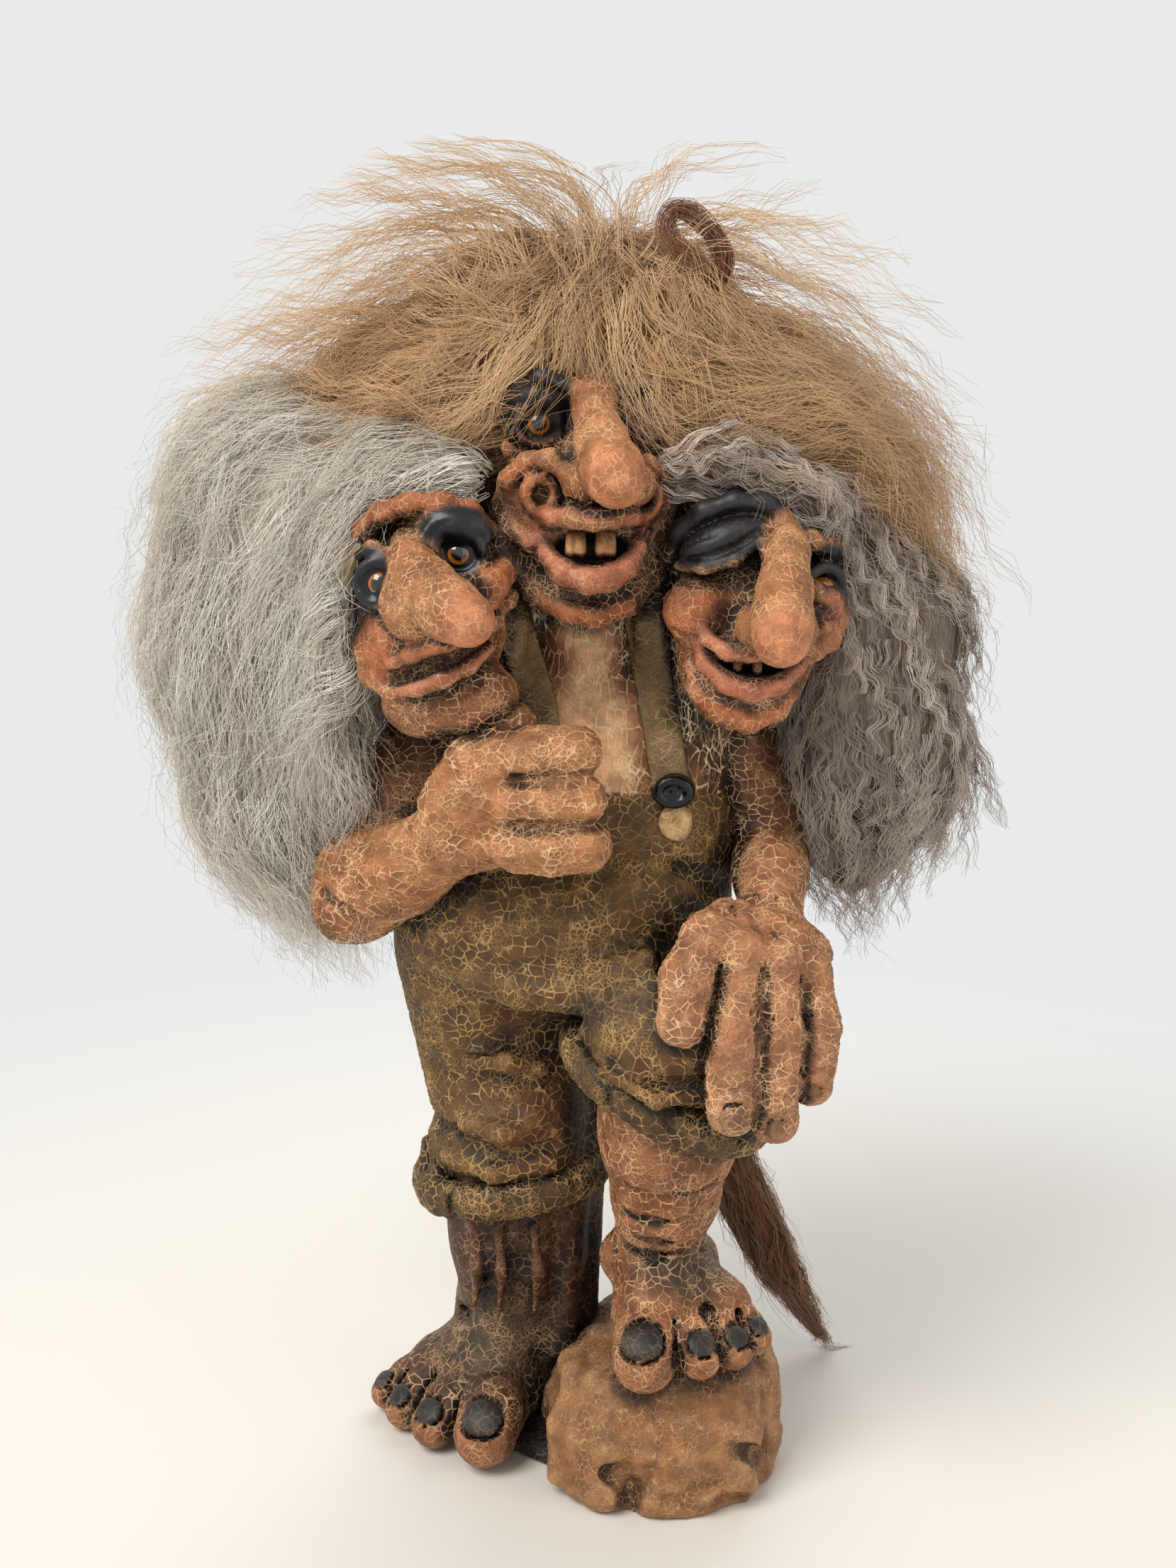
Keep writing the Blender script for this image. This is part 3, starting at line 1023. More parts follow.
# %% Net of cracks
def crackle_net(tree, place, cell, stretch=(1, 1, 1)):
    # 1 on the borders between the islands, 0 inside them; the cell's size is in millimetres
    wobble = noise(tree, place, 330 / cell, 1.0)
    shift = vector_maths(tree, "SUBTRACT", wobble.outputs["Color"], (0.5, 0.5, 0.5))
    shift = vector_maths(tree, "MULTIPLY", shift, (0.0016 * cell, 0.0016 * cell, 0.0016 * cell))
    bent = vector_maths(tree, "ADD", place, shift)
    bent = vector_maths(tree, "MULTIPLY", bent, stretch)
    nets = []
    for size, width in ((cell, 0.085), (cell * 0.42, 0.09)):
        cells = add_node(tree, "ShaderNodeTexVoronoi", Vector=bent, Scale=1000 / size)
        cells.feature = "DISTANCE_TO_EDGE"
        nets.append(level(tree, cells.outputs["Distance"], 0.02, width, 1.0, 0.0))
    patch = level(tree, noise(tree, place, 60.0).outputs[0], 0.44, 0.60)
    fine_net = maths(tree, "MULTIPLY", nets[1], patch)
    broken = level(tree, noise(tree, place, 900 / cell, 2.0).outputs[0], 0.40, 0.50, 0.2, 1.0)
    return maths(tree, "MAXIMUM", maths(tree, "MULTIPLY", nets[0], broken), fine_net)


print("islands of the skin, mm:", 4.3, "and", round(4.3 * 0.42, 1))

# %% [markdown]
# In the mesh the net is lifted along the normals, by a few tenths of a millimetre. It is done with
# geometry nodes and kept, so the borders are real relief.

# %% Raised crackle
crackles = {
    "skin": (4.3, (1, 1, 1)), "hand": (4.6, (1, 1, 1.3)), "chest": (4.8, (1.3, 1, 0.5)),
    "face": (3.3, (1, 1, 1)), "trousers": (4.4, (1, 1, 1)), "strap": (5.2, (1, 1, 1.9)),
    "rock": (2.6, (1, 1, 1)), "gloss": (6.0, (1, 1, 1)),
}


def raise_crackle(piece, crackle, height, lumps=0.0):
    # The net stands up by the height, over broad lumps if there are any
    tree = bpy.data.node_groups.new("raised crackle", "GeometryNodeTree")
    tree.interface.new_socket("Geometry", in_out="INPUT", socket_type="NodeSocketGeometry")
    tree.interface.new_socket("Geometry", in_out="OUTPUT", socket_type="NodeSocketGeometry")
    start, end = tree.nodes.new("NodeGroupInput"), tree.nodes.new("NodeGroupOutput")
    place = tree.nodes.new("GeometryNodeInputPosition").outputs[0]
    normal = tree.nodes.new("GeometryNodeInputNormal").outputs[0]
    strength = add_node(tree, "GeometryNodeInputNamedAttribute", Name="net").outputs[0]
    net = maths(tree, "MULTIPLY", crackle_net(tree, place, *crackles[crackle]), strength)
    lift = maths(tree, "MULTIPLY", net, height * metre)
    if lumps:
        lump = maths(tree, "SUBTRACT", noise(tree, place, 110.0, 3.0).outputs[0], 0.5)
        lift = maths(tree, "ADD", lift, maths(tree, "MULTIPLY", lump, lumps * metre))
    scale = tree.nodes.new("ShaderNodeVectorMath")
    scale.operation = "SCALE"
    tree.links.new(normal, scale.inputs[0])
    tree.links.new(lift, scale.inputs["Scale"])
    push = add_node(tree, "GeometryNodeSetPosition", Geometry=start.outputs[0], Offset=scale.outputs[0])
    tree.links.new(push.outputs[0], end.inputs[0])
    modifier = piece.modifiers.new("crackle", "NODES")
    modifier.node_group = tree
    made_real(piece)


print("crackles:", ", ".join(crackles))

# %% [markdown]
# In the material the same net mixes a cream colour over the painted one. Blotches and specks keep
# the paint from looking even, and the net is worn away in places.

# %% Crackled paint
def crackled_paint(name, crackle, cream, roughness=0.62, bump=0.35):
    material, tree, shader = blank_material(name)
    place = own_place(tree)
    strength = kept_value(tree, "net").outputs["Fac"]
    net = maths(tree, "MULTIPLY", crackle_net(tree, place, *crackles[crackle]), strength)
    worn = level(tree, noise(tree, place, 85.0, 3.0).outputs[0], 0.32, 0.58, 0.22, 1.0)
    line = maths(tree, "MULTIPLY", net, worn, True)
    blotch = level(tree, noise(tree, place, 120.0, 4.0).outputs[0], 0.28, 0.72, 0.60, 1.25)
    speck = level(tree, noise(tree, place, 900.0, 2.0).outputs[0], 0.3, 0.7, 0.86, 1.12)
    both = maths(tree, "MULTIPLY", blotch, speck)
    shade = add_node(tree, "ShaderNodeCombineColor", i0=both, i1=both, i2=both).outputs[0]
    paint = kept_value(tree, "paint").outputs["Color"]
    tone = colour_mix(tree, 1.0, paint, shade, "MULTIPLY")
    bright = colour_mix(tree, 0.80, tone, (*srgb(*cream), 1))
    lined = colour_mix(tree, maths(tree, "MULTIPLY", line, 0.92), tone, bright)
    tree.links.new(lined, shader.inputs["Base Color"])
    rough = level(tree, kept_value(tree, "shine").outputs["Fac"], 0.0, 1.0, roughness, 0.24)
    tree.links.new(rough, shader.inputs["Roughness"])
    grain = maths(tree, "MULTIPLY", noise(tree, place, 1500.0, 2.0).outputs[0], 0.25)
    add_bumps(tree, shader, maths(tree, "ADD", net, grain), bump, 0.0006)
    shader.inputs["Specular IOR Level"].default_value = 0.4
    return material


materials = {
    "skin": crackled_paint("crackled skin paint", "skin", (236, 192, 146)),
    "hand": crackled_paint("crackled hand paint", "hand", (244, 204, 158)),
    "chest": crackled_paint("crackled chest paint", "chest", (250, 226, 184)),
    "face": crackled_paint("crackled face paint", "face", (238, 194, 148)),
    "trousers": crackled_paint("crackled trouser paint", "trousers", (200, 162, 106)),
    "strap": crackled_paint("crackled strap paint", "strap", (196, 170, 130)),
    "rock": crackled_paint("grainy rock paint", "rock", (222, 182, 138), bump=0.6),
    "gloss": crackled_paint("glossy black enamel", "gloss", (60, 62, 66), roughness=0.2, bump=0.05),
}
print("paints:", ", ".join(materials))

# %% [markdown]
# Now each lump of clay becomes a piece: meshed, rounded, painted, crackled, tied to the body, and
# set in place of the solids that it dresses.

# %% From clay to painted pieces
coarser = 1.0


def dressed(piece, slot, *nodes):
    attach(piece, "root")
    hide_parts(*nodes)


def finished(name, strokes, step, tone, marks, paint, height, slot, nodes, floor=None, lumps=0.0, **brush):
    piece = add_piece(name, clay_mesh(name, strokes, step, floor))
    painted(rounded(piece), tone, marks, **brush)
    raise_crackle(piece, paint, height, lumps)
    piece.data.materials.append(materials[paint])
    dressed(piece, slot, *nodes)
    print(name, "points:", len(piece.data.vertices))


print("grid steps are stretched by:", coarser)

# %% [markdown]
# The shins are dark, the toes are lighter, and the worn nails shine a little. Both legs get the
# same dabs, since a dab only reaches as far as its own stroke.

# %% Painted legs and feet
foot_marks = [
    dab(rod((-30, 2, 116), (-32, 4, 62), 44), "shin_skin", 14, 0.3),
    dab(rod((-50, -22, 108), (-46, -24, 70), 8), "shaded_skin", 6, 0.6),
    dab(egg((-45, 6, 44), (40, 40, 22)), "foot_top", 16, 0.5),
    dab(egg((45, -38, 92), (24, 24, 12)), "foot_top", 14, 0.7),
]
foot_marks += dabs(
    [rod(tip, tip, width * 1.05) for root, tip, width in standing_toes + raised_toes], "skin", 5, 0.6)
foot_marks += dabs(foot_nails, "nail", 1.2, 0.15, 0.35)
finished(
    "standing_leg_skin", standing_leg, 1.35 * coarser, "shaded_skin", foot_marks, "skin", 0.35,
    "painted_skin", ["standing_shin", "standing_foot"], floor=0.4)
finished(
    "raised_leg_skin", raised_leg, 1.25 * coarser, "skin", foot_marks, "skin", 0.38, "painted_skin",
    ["raised_shin", "raised_foot"])

# %% [markdown]
# The boulder gets the finest crackle over broad lumps, so that it looks like sandstone. The web is
# the dark shading between boulder and foot.

# %% Painted boulder and web
finished(
    "boulder", boulder, 1.7 * coarser, "rock", [], "rock", 0.35, "painted_rock", ["rock_skin"], floor=0.2,
    lumps=3, net=0.7)
finished(
    "ground_web", web, 1.8 * coarser, "web", [], "rock", 0.2, "dark_recess", ["base_web"], floor=0.2,
    net=0.2)

# %% [markdown]
# The trousers are olive brown, with a browner front where the paint is rubbed, and nearly black in
# the crotch. The rolled hems are a shade darker.

# %% Painted trousers and hems
trouser_marks = [
    dab(rod((-20, -38, 196), (-18, -36, 130), 16), "brown_trousers", 16, 1),
    dab(rod((2, -40, 200), (6, -30, 124), 9), "web", 10, 0.3),
    dab(egg((20, -62, 212), (26, 20, 11), turn=(0, -14, 0)), "foot_top", 10, 0.5),
    dab(egg((40, -88, 190), (20, 14, 14)), "brown_trousers", 8, 1),
]
finished(
    "trouser_moulding", trousers, 1.8 * coarser, "trousers", trouser_marks, "trousers", 0.5,
    "painted_trousers", ["trouser_seat", "standing_trouser_leg", "raised_trouser_leg"], fine=0.8,
    broad=2.6)
finished(
    "standing_rolled_hem", standing_hem, 1.5 * coarser, "hem", [], "trousers", 0.4, "painted_trousers",
    ["standing_cuff"])
finished(
    "raised_rolled_hem", raised_hem, 1.5 * coarser, "hem", [], "trousers", 0.4, "painted_trousers",
    ["raised_cuff"])

# %% [markdown]
# The breast is the lightest skin of all, and the shoulders fall into shade under the wool. The
# crackle on the arms is coarse, with longer islands down the arm.

# %% Painted chest and arms
chest_marks = [
    dab(rod((5, -46, 352), (9, -50, 300), 15, 15), "chest_skin", 9, 1),
    dab(egg((44, -30, 344), (14, 30, 44)), "shaded_skin", 8),
    dab(egg((-42, -30, 322), (22, 26, 28)), "shaded_skin", 8),
    dab(egg((62, -20, 300), (16, 26, 34)), "shaded_skin", 10),
]
finished(
    "chest_skin", chest, 1.8 * coarser, "skin", chest_marks, "chest", 0.6, "painted_skin", ["torso_skin"])
finished(
    "fist_arm_skin", fist_arm, 1.35 * coarser, "pale_skin",
    [dab(rod((-53, -4, 316), (-74, -18, 276), 23), "shaded_skin", 14),
     dab(egg((-100, -30, 244), (24, 22, 18)), "skin", 16),
     dab(egg((-96, -26, 230), (20, 18, 10)), "shaded_skin", 14),
     dab(egg((-70, -46, 252), (24, 12, 8), turn=(0, 30, 0)), "skin", 12)], "hand", 0.6, "painted_skin",
    ["fist", "fist_forearm", "fist_upper_arm"])
resting_marks = dabs(hand_nails, "hand_nail", 2, 0.8)
resting_marks += [dab(rod((65, -3, 305), (80, -2, 268), 22), "shaded_skin", 16)]
finished(
    "resting_arm_skin", resting_arm, 1.3 * coarser, "hand_skin", resting_marks, "hand", 0.6,
    "painted_skin", ["resting_hand", "resting_forearm", "resting_upper_arm"])

# %% [markdown]
# The faces are painted by region: blue-black lids and sockets, pink lips, orange cheeks, a bright
# nose tip, and a dark mouth behind the teeth.

# %% Painted faces
middle_marks = [
    dab(egg((3, -40, 375), (34, 30, 22)), "dark_chin", 10, 1),
    dab(egg((-15, -50, 444), (22, 17, 17)), "lid", 5, 0.1, 0.5),
    dab(egg((29, -48, 441), (20, 18, 17)), "lid", 5, 0.1, 0.5),
    dab(egg((-14, -62, 420), (16, 9, 4.5)), "skin", 4, 0.8),
    dab(rod((6, -52, 449), (9, -66, 430), 8.5, 8.8), "pale_skin", 5, 0.9),
    dab(rod((9, -68, 428), (15, -86, 414), 10.5, 12), "pale_skin", 5, 0.9),
    dab(egg((15.5, -90, 411.5), (13, 14, 11.5)), "nose_tip", 7, 0.6),
    dab(egg((-14, -60, 404), (15, 16, 18)), "orange", 6, 0.6),
    dab(egg((28, -58, 404), (12, 16, 17)), "orange", 6, 0.6),
]
middle_marks += dabs(
    roll([(-15, -62, 397), (-6, -69, 399), (6, -73, 398.5), (20, -69, 399), (27, -60, 398)], 3.6), "pink",
    3, 0.4)
middle_marks += dabs(
    roll([(-13, -61, 391), (-10, -66, 383), (-3, -70, 377), (7, -72, 375), (17, -70, 378),
      (25, -61, 390)], 4.8), "pink", 3, 0.4)
middle_marks += [dab(egg((6.5, -60, 387), (15, 9.5, 5.6)), "mouth", 3, 0, 0.3)]
middle_marks += dabs(
    roll([(-27, -48, 392), (-20, -55, 376), (-4, -60, 364), (10, -60, 362), (24, -54, 368),
      (33, -44, 386)], 4.6), "orange", 5, 0.9)
middle_marks += [
    dab(egg((-12.6, -69, 406.5), (1.9, 5, 2.2)), "mouth", 1.2, 0),
    dab(egg((26.5, -65, 405), (1.6, 4, 1.8)), "mouth", 1.2, 0),
]

left_marks = [
    dab(egg((-52, -70, 330), (34, 26, 16)), "skin", 8, 1),
    dab(egg((-43.5, -72, 390), (16, 16, 14.5)), "lid", 4, 0, 0.75),
    dab(egg((-74, -70, 376), (12.5, 16, 13.5)), "lid", 4, 0, 0.7),
    dab(egg((-79, -62, 360), (10, 14, 14)), "lid", 8, 0.3, 0.3),
    dab(egg((-48, -82, 352), (20, 14, 9)), "orange", 6, 0.7),
    dab(egg((-68, -72, 350), (13, 14, 14)), "orange", 7, 0.8),
    dab(rod((-60, -70, 387), (-54, -88, 375), 8.5, 11), "pale_skin", 5, 0.9),
    dab(rod((-56, -84, 370), (-44, -104, 367), 14, 12), "pale_skin", 5, 0.9),
    dab(egg((-37, -109, 362.5), (12, 13, 11)), "nose_tip", 7, 0.5),
    dab(egg((-29, -75, 374), (8, 10, 9)), "orange", 4, 0.5),
]
left_marks += dabs(
    roll([(-83, -52, 386), (-79, -64, 396), (-69, -74, 402), (-58, -79, 403), (-48, -79, 407),
      (-38, -76, 406), (-29, -66, 399)], [4.5, 5, 5, 4.6, 3.6, 3.2, 3.2]), "orange", 4, 0.6)
left_marks += dabs(
    roll([(-30, -79, 355), (-37, -87, 349), (-47, -91, 344.5), (-58, -89, 340.5), (-66, -83, 338)], 2),
    "mouth", 2.4, 0.1)
left_marks += dabs(
    roll([(-31, -82, 351), (-38, -89, 345), (-47, -92, 340.5), (-57, -90, 336.8), (-65, -83, 335)], 2),
    "pink", 2.6, 0.5)

right_marks = [
    dab(egg((64, -56, 330), (28, 26, 16)), "dark_chin", 8, 1),
    dab(rod((36, -72, 379), (66, -76, 382), 10), "dark_chin", 4, 0.8),
    dab(egg((54, -68, 396), (25, 18, 18), turn=(0, -14, 0)), "lid", 4, 0.05, 0.45),
    dab(egg((95, -60, 374), (13, 16, 15)), "lid", 4, 0, 0.7),
    dab(egg((45, -66, 363), (14, 14, 13)), "orange", 6, 0.6),
    dab(egg((92, -66, 360), (11, 14, 12.5)), "orange", 5, 0.5),
    dab(rod((77, -66, 394), (76.5, -86, 375), 8, 11), "pale_skin", 5, 0.9),
    dab(rod((76, -88, 372), (73, -104, 360), 11.5, 12), "pale_skin", 5, 0.9),
    dab(egg((73, -105, 355), (12.5, 13, 12)), "nose_tip", 7, 0.5),
    dab(egg((66, -72, 353), (20, 12, 5)), "orange", 4, 0.6),
]
right_marks += dabs(
    roll([(46, -73, 359), (56, -80, 349.5), (66, -82, 348), (77, -80, 350), (88, -71, 357)], 3), "pink",
    2.6, 0.4)
right_marks += dabs(
    roll([(47, -72, 350), (51, -77, 341), (60, -80.5, 335.5), (70, -80, 335), (80, -76, 340),
      (86, -70, 350)], 4.2), "pink", 2.8, 0.4)
right_marks += [dab(egg((66, -72, 344), (14, 8, 4.4), turn=(0, 4, 0)), "mouth", 2.6, 0, 0.3)]
right_marks += dabs(
    roll([(45, -66, 340), (50, -70, 330), (60, -73, 324), (70, -72, 323), (80, -66, 330)], 4.4), "orange",
    4, 0.8)

faces = {
    "middle": (middle_face, middle_marks), "left": (left_face, left_marks),
    "right": (right_face, right_marks),
}
for side, (strokes, marks) in faces.items():
    finished(side + "_face_skin", strokes, 1.15 * coarser, "skin", marks, "face", 0.3, "painted_skin",
             [side + "_head_skin"], fine=0.6, broad=1.9)

# %% [markdown]
# The braces are thin bands of latex laid on the chest. The clay of the chest is grown by the
# band's thickness, and everything outside the band's own width is cut away.

# %% Braces
def band(name, under, path, width, thickness):
    path = np.array(path, float)
    low = path.min(axis=0) - (width, 26, 6)
    high = path.max(axis=0) + (width, 26, 6)
    step = 1.2 * coarser
    shape = tuple(np.ceil((high - low) / step).astype(int))
    field = np.full(shape, far_off, dtype=np.float32)
    add_strokes(field, low, step, under, 10)
    x = (low[0] + step * np.arange(shape[0]))[:, None, None]
    y = (low[1] + step * np.arange(shape[1]))[None, :, None]
    z = (low[2] + step * np.arange(shape[2]))[None, None, :]
    line = np.interp(z, path[::-1, 2], path[::-1, 0])
    side = np.abs(x - line) - width / 2
    ends = np.maximum(z - path[0, 2], path[-1, 2] - z)
    shell = np.maximum(field - thickness, -1.5 - field)
    edge = np.maximum(side, ends)
    blend = 1.4
    melt = np.maximum(blend - np.abs(shell - edge), 0) / blend
    shell = np.maximum(shell, edge) + melt * melt * blend / 4
    shell = np.maximum(shell, y + 24)
    return add_piece(name, field_mesh(name, shell.astype(np.float32), low, step))


strap_paths = {
    "left": [(-29, -30, 374), (-24, -34, 358), (-15, -40, 326), (-11, -42, 300)],
    "right": [(26, -30, 374), (27, -34, 358), (33, -40, 322), (38, -42, 292)],
}
for side, path in strap_paths.items():
    strap = band(side + "_strap", chest + trousers, path, 15.5, 2.4)
    painted(rounded(strap), "strap", [], net=0.75)
    raise_crackle(strap, "strap", 0.35)
    strap.data.materials.append(materials["strap"])
    dressed(strap, "painted_strap", side + "_brace")
print("braces:", ", ".join(strap_paths))

# %% [markdown]
# The left brace hangs on a black button with two holes in a raised rim, and on a cream loop below
# it. Both take their places from the construction model.

# %% Button and loop
button_middle = node_middle("brace_button") + (0, -1.5, 0)
button = [
    egg(button_middle, (8.8, 4.6, 7.2), 2, (4, 0, 0)), egg(button_middle + (0, 2, 0), (8, 4, 6.6), 2),
]
button += ring(button_middle + (0, -3.6, 0), 6.2, 4.8, 0, 1.3, 2)
button += [
    hollow(button_middle + (-2.4, -5.2, 0.5), (1.5, 1.6, 1.5), 1),
    hollow(button_middle + (2.4, -5.2, 0.3), (1.5, 1.6, 1.5), 1),
]
finished(
    "brace_button_enamel", button, 0.7, "button",
    [dab(egg(button_middle, (30, 30, 30)), "button", 2, 0, 1)], "gloss", 0.1, "black_enamel",
    ["brace_button"])
tab_middle = node_middle("brace_tab") + (0, -0.5, 0)
tab = ring(tab_middle, 4.2, 5, 0, 2.2, 2) + [egg(tab_middle + (0, 1.5, 0), (4.5, 2.2, 5.5), 2)]
finished("brace_loop", tab, 0.8, "cream", [], "skin", 0.25, "painted_cream", ["brace_tab"])

# %% [markdown]
# Two square teeth stand in the tall head's grin, each cast as a pair of short rolls with a seam.
# The right head has two stumps behind its lip.

# %% Teeth
middle_teeth = []
for x in (0.4, 11.6):
    for shift in (-1.7, 1.7):
        middle_teeth += roll([(x + shift, -64.5, 391.5), (x + shift * 1.15, -65.5, 385.6)], [2.1, 2.2], 1)
finished(
    "middle_teeth", middle_teeth, 0.6, "tooth", [], "face", 0.12, "tooth_cream", ["middle_head_teeth"],
    net=0.3)
right_teeth = [
    rod((60.5, -74, 347.5), (60.3, -74.5, 343.4), 1.9, 1.8, 0.6),
    rod((67.5, -75, 346.8), (67.6, -75.5, 342.4), 1.9, 1.8, 0.6),
]
finished(
    "right_teeth", right_teeth, 0.6, "tooth", [], "face", 0.12, "tooth_cream", ["right_head_teeth"],
    net=0.3)

# %% [markdown]
# The eyes are stock glass domes: a black pupil in an amber iris with a darker rim, under clear
# glass. Seen from outside the glass only adds a sharp highlight, so each eye is one ball with a
# clear coat, and its rings are painted by the angle from the line of sight.

# %% Glass eyes
def glass_eye(name, gaze):
    glass = name + "_glass"
    middle = node_middle(glass)
    radius = (node_high(glass) - node_low(glass)).max() / 2 * 1.05
    gaze = np.array(gaze, float)
    gaze = gaze / np.linalg.norm(gaze)
    side = np.cross(gaze, (0, 0, 1))
    side = side / np.linalg.norm(side)
    up = np.cross(side, gaze)
    rings, turns = 40, 56
    points, ray = [middle + gaze * radius], [0.0]
    for i in range(1, rings):
        angle = math.pi * i / rings
        for j in range(turns):
            turn = 2 * math.pi * j / turns
            across = side * math.cos(turn) + up * math.sin(turn)
            points.append(middle + radius * (gaze * math.cos(angle) + across * math.sin(angle)))
            ray.append(math.sin(angle) if angle < math.pi / 2 else 1.0)
    points.append(middle - gaze * radius)
    ray.append(1.0)
    polygons = [(0, 1 + j, 1 + (j + 1) % turns) for j in range(turns)]
    for i in range(rings - 2):
        first = 1 + i * turns
        for j in range(turns):
            k = (j + 1) % turns
            polygons.append((first + j, first + turns + j, first + turns + k, first + k))
    last = 1 + (rings - 2) * turns
    polygons += [(last + j, len(points) - 1, last + (j + 1) % turns) for j in range(turns)]
    mesh = bpy.data.meshes.new(name)
    mesh.from_pydata((np.array(points) * metre).tolist(), [], polygons)
    mesh.polygons.foreach_set("use_smooth", np.ones(len(mesh.polygons), dtype=bool))
    mesh.attributes.new("ray", "FLOAT", "POINT").data.foreach_set("value", ray)
    piece = add_piece(name, mesh)
    piece.data.materials.append(materials["eye"])
    dressed(piece, "eye_amber", glass, name + "_iris")


def amber_glass():
    material, tree, shader = blank_material("amber glass")
    stops = [
        (0.0, (3, 2, 2)), (0.44, (5, 3, 2)), (0.48, (116, 62, 16)), (0.62, (186, 112, 38)),
        (0.78, (158, 84, 24)), (0.90, (204, 134, 58)), (0.95, (90, 44, 14)), (1.0, (10, 7, 6)),
    ]
    stops = [(share, srgb(*colour)) for share, colour in stops]
    rings = ramp(tree, kept_value(tree, "ray").outputs["Fac"], stops)
    tree.links.new(rings, shader.inputs["Base Color"])
    set_inputs(shader, {"Roughness": 0.12, "Coat Weight": 1.0, "Coat Roughness": 0.03})
    return material


materials["eye"] = amber_glass()
gazes = {
    "middle_head_left_eye": (0.02, -1, 0.02), "middle_head_right_eye": (-0.05, -1, 0.0),
    "left_head_left_eye": (-0.1, -1, 0.0), "left_head_right_eye": (0.08, -1, 0.06),
    "right_head_right_eye": (-0.15, -1, 0.05),
}
for name, gaze in gazes.items():
    glass_eye(name, gaze)
print("glass eyes:", len(gazes))

# %% [markdown]
# The wigs are loose sheep's wool: thousands of fine, wavy fibres that gather into locks. A wig's
# outer shape is modelled as clay first. It is kept as a grid of distances, so that any point can
# ask how deep it lies in the wool, and which way is out.

# %% Wool masses
def unit(vectors):
    return vectors / np.maximum(np.linalg.norm(vectors, axis=-1, keepdims=True), 1e-9)


def wool_field(strokes, step=3.0, room=36.0):
    low, high = room_of(strokes, room)
    shape = tuple(np.ceil((high - low) / step).astype(int))
    field = np.full(shape, 40.0, dtype=np.float32)
    add_strokes(field, low, step, strokes, room)
    return {"field": field, "low": low, "step": step, "slopes": np.gradient(field, step)}


def outward(wool, points):
    slopes = [grid_value(slope, wool["low"], wool["step"], points) for slope in wool["slopes"]]
    return unit(np.stack(slopes, axis=1))


scarce = 1.0
print("share of the fibres that is made:", scarce)

# %% [markdown]
# A lock is a path that is combed over the wig's outer shape. The comb's direction is set by hand at
# a few places on each wig, and is averaged between them, with slow swirls on top.

# %% Combed paths
swirl_turns = random.normal(0, 1, (3, 3)) * 2 * math.pi / 130


def comb_direction(points, combs, swirl):
    # The comb's direction is averaged between the places set by hand, and slow swirls are added
    places, ways = np.split(np.array(combs, float), 2, axis=1)
    away = ((points[:, None, :] - places[None]) ** 2).sum(axis=2)
    weight = 1 / (away + 260) ** 1.5
    way = unit((weight[:, :, None] * unit(ways)[None]).sum(axis=1))
    return unit(way + swirl * np.sin(points @ swirl_turns + (0.3, 1.7, 4.1)))


def combed_paths(wool, combs, seeds, length, steps, depth_root, depth_tip, stray, swirl, hug=0.75, free=0.0):
    # March from each seed along the comb, near the given depth under or over the surface; a free
    # path lets go of the surface towards its tip
    points = seeds.copy()
    stride = (length / steps)[:, None]
    lean = random.normal(0, stray, len(seeds))[:, None]
    path, ways, outs = [], [], []
    for i in range(steps + 1):
        share = i / steps
        out = outward(wool, points)
        depth = depth_root + (depth_tip - depth_root) * share
        away = grid_value(wool["field"], wool["low"], wool["step"], points)
        pull = 0.9 if i == 0 else 0.35 * (1 - free * share)
        points = points + out * ((depth - away) * pull)[:, None]
        way = comb_direction(points, combs, swirl)
        way = unit(way - out * ((way * out).sum(axis=1) * hug)[:, None])
        way = unit(way * np.cos(lean) + np.cross(out, way) * np.sin(lean))
        if i:
            way = unit(0.5 * way + 0.5 * ways[-1])
        path.append(points.copy())
        ways.append(way)
        outs.append(out)
        points = points + way * stride
    return np.stack(path, axis=1), np.stack(ways, axis=1), np.stack(outs, axis=1)


print("swirls, waves to a millimetre:", (np.abs(swirl_turns).max() / (2 * math.pi)).round(3))

# %% [markdown]
# The fibres of a lock lie round its path, wide at the root and drawn together at the tip, each with
# its own wave. One wave belongs to the whole lock, and a smaller one to each fibre.

